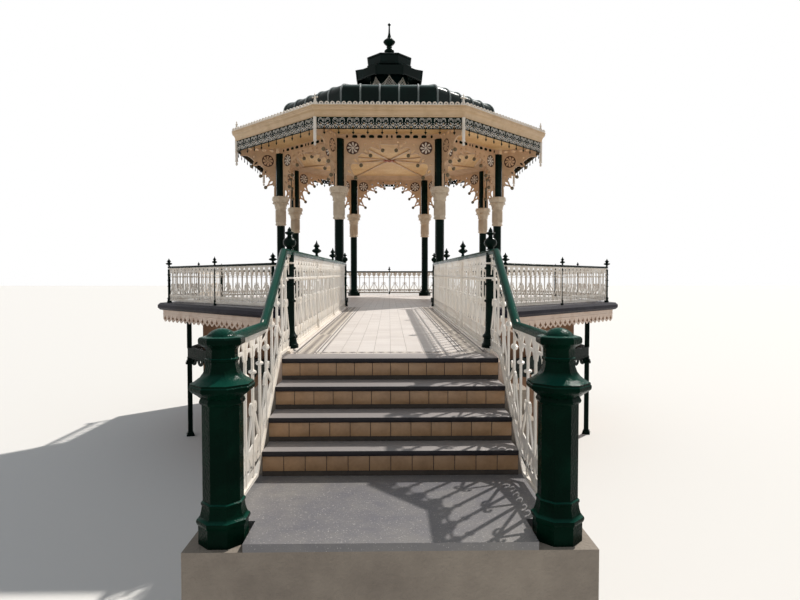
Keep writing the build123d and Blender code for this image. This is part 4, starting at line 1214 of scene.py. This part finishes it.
# %% Corner spires
spire_foot = [(0.096, 0), (0.090, 0.016), (0.052, 0.05), (0.032, 0.10), (0.021, 0.165), (0.018, 0.18)]
spire_top = [
    (0.034, 0.188), (0.034, 0.198), (0.013, 0.206), (0.011, 0.235), (0.021, 0.248), (0.011, 0.262),
    (0, 0.300),
]
arm, arm_level = 0.062, 0.193
spire_inset = 0.085
spire = [lathe([(0, 0), *flowing(spire_foot, 2), *spire_top], 16)]
spire.append(strip([(-arm, arm_level), (arm, arm_level)], 0.014, 0.014))
spire += [ball(way * arm, arm_level, 0.017) for way in (-1, 1)]
spire = moved(together(spire), turn=pi / 2)
spires = set_out(spire, ivory, corner_places(eaves - spire_inset / to_corner, gutter_high.z))
finished("corner_finials", [spires], ["corner_spires"], ivory)

# %% Valance
valance_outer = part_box("valance")[1].x
valance_reach = valance_outer - 0.009
valance_count = 10
valance_pitch = 2 * (valance_reach * half_side - 0.048) / valance_count
# Rails along the valance, as (level, height)
valance_rails = ((-0.010, 0.020), (-0.128, 0.010), (-0.266, 0.016))


def lace_ground(width):
    """One repeat of the valance: a dark plate with lozenge holes, and a spear below."""
    half = width / 2
    outline = [(-half, -0.268), (-0.014, -0.268), (0, -0.285), (0.014, -0.268), (half, -0.268)]
    outline += [(half, 0), (-half, 0)]
    middles = [(share * half, -0.150) for share in (-0.5, 0.5)]
    middles += [(share * half, -0.222) for share in (0, -0.78, 0.78)]
    lozenges = [[(x, z - 0.028), (x + 0.018, z), (x, z + 0.028), (x - 0.018, z)] for x, z in middles]
    spear = [(-0.034, -0.345), (0, -0.400), (0.034, -0.345), (0.008, -0.330), (0.008, -0.270)]
    spear += [(-0.008, -0.270), (-0.008, -0.330)]
    return together([plate([outline, *lozenges], 0.008), plate([spear], 0.016, edge=0.003)])


def lace_tracery(width):
    """The raised tracery, picked out in ivory: two hoops, arcs within and below them, and chevrons."""
    half = width / 2
    lines = [([(-0.100, -0.112), (0, -0.168), (0.100, -0.112)], 0.007, 0.008)]
    for way in (-1, 1):
        x = way * half / 2
        lines += [
            ([(x + 0.046, -0.105), *arc(x, -0.064, 0.046, 0, 180, 6), (x - 0.046, -0.105)], 0.0075, 0.009),
            ([(way * 0.014, -0.030), (way * 0.014, -0.110)], 0.005, 0.008),
            (arc(x, -0.066, 0.022, 0, 180, 4), 0.0065, 0.008),
            (arc(x, -0.120, 0.062, 190, 350, 4), 0.0075, 0.008),
            (arc(x, -0.240, 0.058, 25, 155, 4), 0.0075, 0.008),
            ([(way * (half - 0.082), -0.256), (way * half, -0.180)], 0.007, 0.008),
            ([(way * (half - 0.040), -0.256), (way * half, -0.218)], 0.006, 0.008),
            ([(way * 0.010, -0.188), (way * 0.055, -0.256)], 0.007, 0.008),
            (arc(x, -0.205, 0.018, 90 - way * 40, 90 + way * 200, 5), 0.005, 0.008),
        ]
    return together([strip(points, breadth, depth) for points, breadth, depth in lines])


ground = lace_ground(valance_pitch)
grounds = [cast_row(ground, bottle_green, valance_count, valance_pitch, valance_reach, gutter_low.z)]
for level, height in valance_rails:
    grounds.append(band(valance_reach, gutter_low.z + level, bar_section(0.018, height)))
finished("lace_valance", grounds, ["valance"], bottle_green)
lace = lace_tracery(valance_pitch)
tracery = cast_row(lace, lit_ivory, valance_count, valance_pitch, valance_reach + 0.006, gutter_low.z)
finished("valance_tracery", [tracery], [], lit_ivory)
pendant_profile = [
    (0, -0.66), (0.012, -0.655), (0.026, -0.635), (0.030, -0.615), (0.024, -0.59), (0.015, -0.575),
    (0.015, -0.565), (0.036, -0.555), (0.040, -0.545), (0.040, -0.525), (0.034, -0.515), (0.034, -0.30),
    (0.040, -0.295), (0.040, -0.28), (0.036, -0.27), (0.036, -0.04), (0.040, -0.03), (0.040, 0), (0, 0),
]
pendant_places = corner_places(valance_reach - 0.009 + 0.010 / to_corner, gutter_low.z)
pendants = set_out(faceted(pendant_profile), ivory, pendant_places)
finished("corner_posts", [pendants], ["corner_pendants"], ivory)

# %% [markdown]
# The roof is a low drum of sheet metal that rounds over to a shallow slope. Its outside line is a
# straight, an arc and a straight, run round the octagon like a moulding; round battens cover the
# joints of the sheets, four to a side and one on every hip, bent to the same line.

# %% Roof sheets
roof_low, roof_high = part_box("drum_roof")
skirt_low, skirt_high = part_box("skirt_roof")
roof_apothem = roof_high.x
shoulder_radius = 0.26
shoulder_level = deck + 5.56
slope_angle = 14
sheet = 0.04
lantern_apothem = 0.55
skirt_inner = 2.91
skirt_edge = gutter_high.z - 0.06


def roof_line(grow, inner):
    """The roof's outside line, grown outwards, from its foot to an inner distance."""
    centre = roof_apothem - shoulder_radius
    level = shoulder_level - shoulder_radius
    shoulder = arc(centre, level, shoulder_radius + grow, 0, 90 - slope_angle, 8)
    reach, height = shoulder[-1]
    ridge = (inner, height + tan(radians(slope_angle)) * (reach - inner))
    return [(roof_apothem + grow, roof_low.z), *shoulder, ridge]


def roof_band(outline, crease=35):
    """A closed outline of (distance to the flats, height) points, run round the octagon."""
    return band(1.0, 0.0, [(reach - 1.0, height) for reach, height in outline], crease)


drum_outline = roof_line(0, lantern_apothem) + roof_line(-sheet, lantern_apothem)[::-1]
finished("drum_sheets", [roof_band(drum_outline, 30)], ["drum_roof"], drum_green)
skirt_outline = [
    (skirt_inner, skirt_low.z), (skirt_high.x, skirt_low.z), (skirt_high.x, skirt_edge),
    (roof_apothem, skirt_high.z), (skirt_inner, skirt_high.z),
]
finished("skirt_sheets", [roof_band(skirt_outline)], ["skirt_roof"], drum_green)

# %% Roof battens
batten_width = 0.052
batten_shares = (0.1, 0.3)
skirt_start = (skirt_high.x - 0.03, skirt_edge)


def batten(points, stretch=1.0):
    """A round batten bent along (reach, height) points."""
    line = [(reach * stretch, height) for reach, height in points]
    return strip(line, batten_width, batten_width, facets=8)


battens = []
for offset in [share * 2 * roof_apothem * half_side for share in batten_shares]:
    inner = max(offset / half_side + 0.06, lantern_apothem + 0.03)
    for way in (-1, 1):
        roll = moved(batten([skirt_start, *roof_line(0.004, inner)]), y=way * offset)
        battens.append(set_out(roll, batten_green, hub_places(0)))
hip = batten([skirt_start, *roof_line(0.0, lantern_apothem + 0.02)], to_corner)
battens.append(set_out(hip, batten_green, hub_places(0.5)))
foot_bead = [(0, -0.03), (0.02, -0.03), (0.026, 0), (0.02, 0.03), (0, 0.03)]
battens.append(band(roof_apothem, roof_low.z + 0.03, foot_bead))
finished("roof_battens", battens, ["roof_rolls"], batten_green)

# %% [markdown]
# A small lantern lets the air out. Its dark drum has a pointed opening on every side, filled with a
# pale lattice; over it come a flared hood, a capped drum and a turned finial, 8.3 m over the deck.

# %% Lantern
hood_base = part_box("lantern_hood")[0].z
cap_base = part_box("lantern_cap")[0].z
hood_apothem, cap_apothem = 0.955, 0.628
opening_base = hood_base - 0.25
opening_half = 0.185
opening_top = 0.36
lattice_slope = 1.1
lattice = []
for foot in [step * 0.075 for step in range(-4, 5)]:
    for way in (-1, 1):
        reach = (opening_half - way * foot) / (1 + opening_half * lattice_slope / opening_top)
        if reach > 0.03:
            lattice.append(strip([(foot, 0), (foot + way * reach, reach * lattice_slope)], 0.014, 0.010))
spring = opening_half * 0.92
arch = [(-opening_half, 0), (-spring, 0.07), (0, opening_top), (spring, 0.07), (opening_half, 0)]
lattice.append(strip(arch, 0.015, 0.03))
lattices = cast_row(together(lattice), ivory, reach=lantern_apothem + 0.006, height=opening_base)
finished("lantern_lattice", [lattices], [], ivory)

hood_roll = batten([(0.94, hood_base), (0.97, hood_base + 0.27), (0.55, cap_base)], to_corner)
sill = [(0, -0.02), (0.03, -0.02), (0.04, 0), (0.03, 0.02), (0, 0.02)]
lip = [(-0.045, 0), (0, 0), (0.012, 0.012), (0.004, 0.03), (-0.015, 0.03)]
cap_bead = [(0, -0.035), (0.018, -0.03), (0.03, -0.01), (0.03, 0.012), (0.012, 0.03), (0, 0.035)]
hood = [set_out(hood_roll, roof_green, hub_places(0.5))]
hood += [band(hood_apothem, hood_base, lip), band(lantern_apothem, opening_base - 0.03, sill)]
hood += [band(cap_apothem, cap_base + level, cap_bead) for level in (0.04, 0.285)]
finished("hood_mouldings", hood, [], roof_green)

# %% Finial
# The finial's foot, its two bulbs and stem, and the small ball at its tip, as (radius, height)
finial_profile = [(0, 0), (0.115, 0), (0.115, 0.05)]
lower_bulb = [
    (0.108, 0.07), (0.135, 0.12), (0.150, 0.160), (0.135, 0.200), (0.082, 0.240), (0.078, 0.280),
    (0.088, 0.300),
]
upper_bulb = [
    (0.060, 0.330), (0.120, 0.365), (0.175, 0.430), (0.172, 0.470), (0.120, 0.520), (0.066, 0.565),
    (0.050, 0.62), (0.028, 0.720), (0.021, 0.900),
]
tip_ball = [(0.020, 0.925), (0.040, 0.945), (0.045, 0.968), (0.030, 0.992), (0.009, 1.006), (0, 1.02)]
for line in (lower_bulb, upper_bulb, tip_ball):
    finial_profile += flowing(line, 3)
finial = moved(lathe(finial_profile, 32), z=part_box("finial")[0].z)
finished("turned_finial", [finial], ["finial"], bottle_green)

# %% [markdown]
# Below the deck the lower storey keeps out of sight: rendered walls behind a ring of posts whose
# beams carry a scalloped edge. Its fringe is the same row tree once more.

# %% Lower storey
beam_low, beam_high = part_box("lower_beams")
lower_reach = beam_high.x - 0.045
scallops = 12
scallop = 2 * (lower_reach * half_side - 0.07) / scallops
half = scallop / 2
edge = [(-half, 0), *arc(0, 0, half - 0.02, 180, 360, 8), (half, 0), (half, 0.03), (-half, 0.03)]
ring = strip(arc(0, -0.04, 0.055, 0, 315, 7), 0.014, 0.03, closed=True)
drop = together([plate([edge, arc(0, -0.04, 0.045, 0, 315, 7)], 0.02), ring])
fringe = [cast_row(drop, bottle_green, scallops, scallop, lower_reach, beam_low.z - 0.03)]
fringe += [band(lower_reach, beam_low.z + level, bar_section(0.11, 0.024)) for level in (0.012, 0.258)]
finished("lower_scallops", fringe, [], bottle_green)
collar_profile = [(0, 0), (0.10, 0), (0.10, 0.04), (0.085, 0.055), (0.085, 0.085), (0.062, 0.11), (0, 0.11)]
lower_collars = (0.0, 1.93)
collars = [
    set_out(faceted(collar_profile, 4), bottle_green, corner_places(lower_reach, level))
    for level in lower_collars
]
finished("lower_post_collars", collars, [], bottle_green)

# %% [markdown]
# The bridge carries low ivory kerbs below its panels. The steps have slate treads with a rounded
# nosing over risers of ochre tiles, about 150 mm wide, a hair proud of their dark bedding.

# %% Kerbs and steps
kerb_points = [(rail_apothem - 0.036, deck), *floor_line[1:]]
kerb_section = [(-0.040, 0), (0.040, 0), (0.040, 0.016)]
kerb_section += [(0.032, kerb_height), (-0.032, kerb_height), (-0.040, 0.016)]
kerbs = [moulding(side_path(kerb_points, 0, way), kerb_section) for way in (-1, 1)]
finished("ivory_kerbs", kerbs, ["bridge_kerbs"], ivory)
treads_low, treads_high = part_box("stair_treads")
risers_low, risers_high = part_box("stair_risers")
nosings = (13.760, 13.533, 13.269, 12.987)
overhang = 0.04
riser_height = (landing - street) / len(nosings)
tread_thickness = 0.041
tile_columns = 12
tile_width = (risers_high.x - risers_low.x) / tile_columns
tile_height = 0.103
half_tile = tile_width / 2 - 0.0025
treads = []
tiles = []
for step, reach in enumerate(nosings):
    back = nosings[step + 1] - overhang if step + 1 < len(nosings) else bridge_end
    top = street + riser_height * (step + 1)
    under = top - tread_thickness
    treads.append(block((treads_low.x, -reach, under), (treads_high.x, -back, top), edge=0.010))
    tile = block((-half_tile, -0.003, -tile_height), (half_tile, 0.004, 0), edge=0.002)
    tiles.append(cast_row(tile, ochre_tile, tile_columns, tile_width, reach - 0.02, under - 0.002, turns=1))
finished("slate_treads", treads, ["stair_treads"], trodden_and_sunlit_slate)
finished("riser_tiles", tiles, [], ochre_tile)

# %% Newels
newel_profile = [
    (0, 0), (0.124, 0), (0.124, 0.100), (0.130, 0.110), (0.134, 0.122), (0.132, 0.134), (0.121, 0.142),
    (0.115, 0.155), (0.109, 0.178), (0.106, 0.200), (0.106, 0.208), (0.110, 0.213), (0.110, 0.225),
    (0.101, 0.232), (0.101, 0.752), (0.110, 0.760), (0.114, 0.770), (0.110, 0.782), (0.106, 0.790),
    (0.124, 0.806), (0.148, 0.824), (0.160, 0.836), (0.162, 0.844), (0.162, 0.856), (0.157, 0.862),
    (0.157, 0.872), (0.132, 0.886), (0.108, 0.905), (0.092, 0.928), (0.083, 0.955), (0.079, 0.985),
    (0.085, 0.990), (0.085, 1.002), (0.078, 1.007), (0.078, 1.050), (0.086, 1.064), (0.102, 1.074),
    (0.112, 1.082), (0.115, 1.090), (0.115, 1.108), (0.109, 1.118), (0.098, 1.122),
]
dome = [(radius / to_corner, height) for radius, height in arc(0, 1.062, 0.103, 37, 90, 6)]
newel = faceted([*newel_profile, *dome[:-1], (0, 1.165)])
newel_places = [(way * bridge_half, -newel_reach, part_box("newels")[0].z, 0.0) for way in (-1, 1)]
newels = set_out(newel, newel_green, newel_places)
finished("domed_newels", [newels], ["newels"], newel_green)

# %% [markdown]
# What the model already shapes well stays as it is and only gets its finish: walls, slabs, floors,
# coping stones, shafts, beams and masonry.

# %% Finishes of the plain pieces
kept = (
    (plain_stone, ("lower_floor", "abutment", "stair_core")),
    # The deck slab gets the dark brown render, as painted shade behind the fringe's lozenges
    (brown_render, ("lower_walls", "deck_slab")),
    (bottle_green, ("lower_posts", "lower_beams", "columns", "bridge_girders")),
    (roof_green, ("lantern_drum", "lantern_hood", "lantern_cap")),
    (floor_tile, ("deck_floor",)),
    (bridge_tile, ("bridge_floor",)),
    (slate, ("deck_coping",)),
    (shaded_ivory, ("arch_beams",)),
    (rose_cream, ("bridge_slab",)),
    (grout, ("stair_risers",)),
    (granite, ("foot_slab",)),
)
for finish, nodes in kept:
    for node in nodes:
        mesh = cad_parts[node].data
        mesh.materials.clear()
        mesh.materials.append(finish)
print("plain pieces finished:", sum(len(nodes) for finish, nodes in kept))

# %% [markdown]
# The stage is a plain pale floor, a high soft sun from behind on the right and a broad fill. The
# camera stands on the street at the photographer's eye, found by fitting the octagons and steps.

# %% Floor and light
floor_size = 400.0
floor_block = block((-floor_size, -floor_size, -0.05), (floor_size, floor_size, -0.002))
floor = bpy.data.objects.new("floor", together([floor_block], "floor"))
scene.collection.objects.link(floor)
floor_material, _, floor_shader, _ = surface("plain_pale_floor", 0.9)
floor_shader.inputs["Base Color"].default_value = linear("E4E2DF")
floor.data.materials.append(floor_material)

world = bpy.data.worlds.new("studio")
scene.world = world
world.use_nodes = True
tree = world.node_tree
tree.nodes.clear()
rays = add_node(tree, "ShaderNodeLightPath")
seen = rays["Is Camera Ray"]
for ray in ("Is Glossy Ray", "Is Transmission Ray"):
    seen = add_node(tree, "ShaderNodeMath", {"operation": "MAXIMUM"}, i0=seen, i1=rays[ray])[0]
soft = add_node(tree, "ShaderNodeBackground", Color=(0.86, 0.93, 1.0, 1), Strength=0.37)[0]
white = add_node(tree, "ShaderNodeBackground", Color=(1, 1, 1, 1), Strength=1.0)[0]
sky = add_node(tree, "ShaderNodeMixShader", i0=seen, i1=soft, i2=white)[0]
add_node(tree, "ShaderNodeOutputWorld", Surface=sky)

sun_data = bpy.data.lights.new("sun", "SUN")
sun_data.energy = 3.8
sun_data.angle = radians(1.0)
sun_data.color = (1.0, 0.96, 0.9)
sun = bpy.data.objects.new("sun", sun_data)
sun.rotation_euler = Vector((0.64, 0.71, 1.0)).to_track_quat("Z", "Y").to_euler()
scene.collection.objects.link(sun)

# %% Camera
looking_down = 1.984
looking_right = 1.079
camera_data = bpy.data.cameras.new("camera")
camera_data.sensor_width = 36
camera_data.lens = 26.22
camera_data.clip_end = 1000
camera = bpy.data.objects.new("camera", camera_data)
camera.location = (-0.012, -17.817, deck + 0.572)
camera.rotation_euler = (radians(90 - looking_down), 0, radians(-looking_right))
scene.collection.objects.link(camera)
scene.camera = camera
scene.view_settings.view_transform = "Standard"
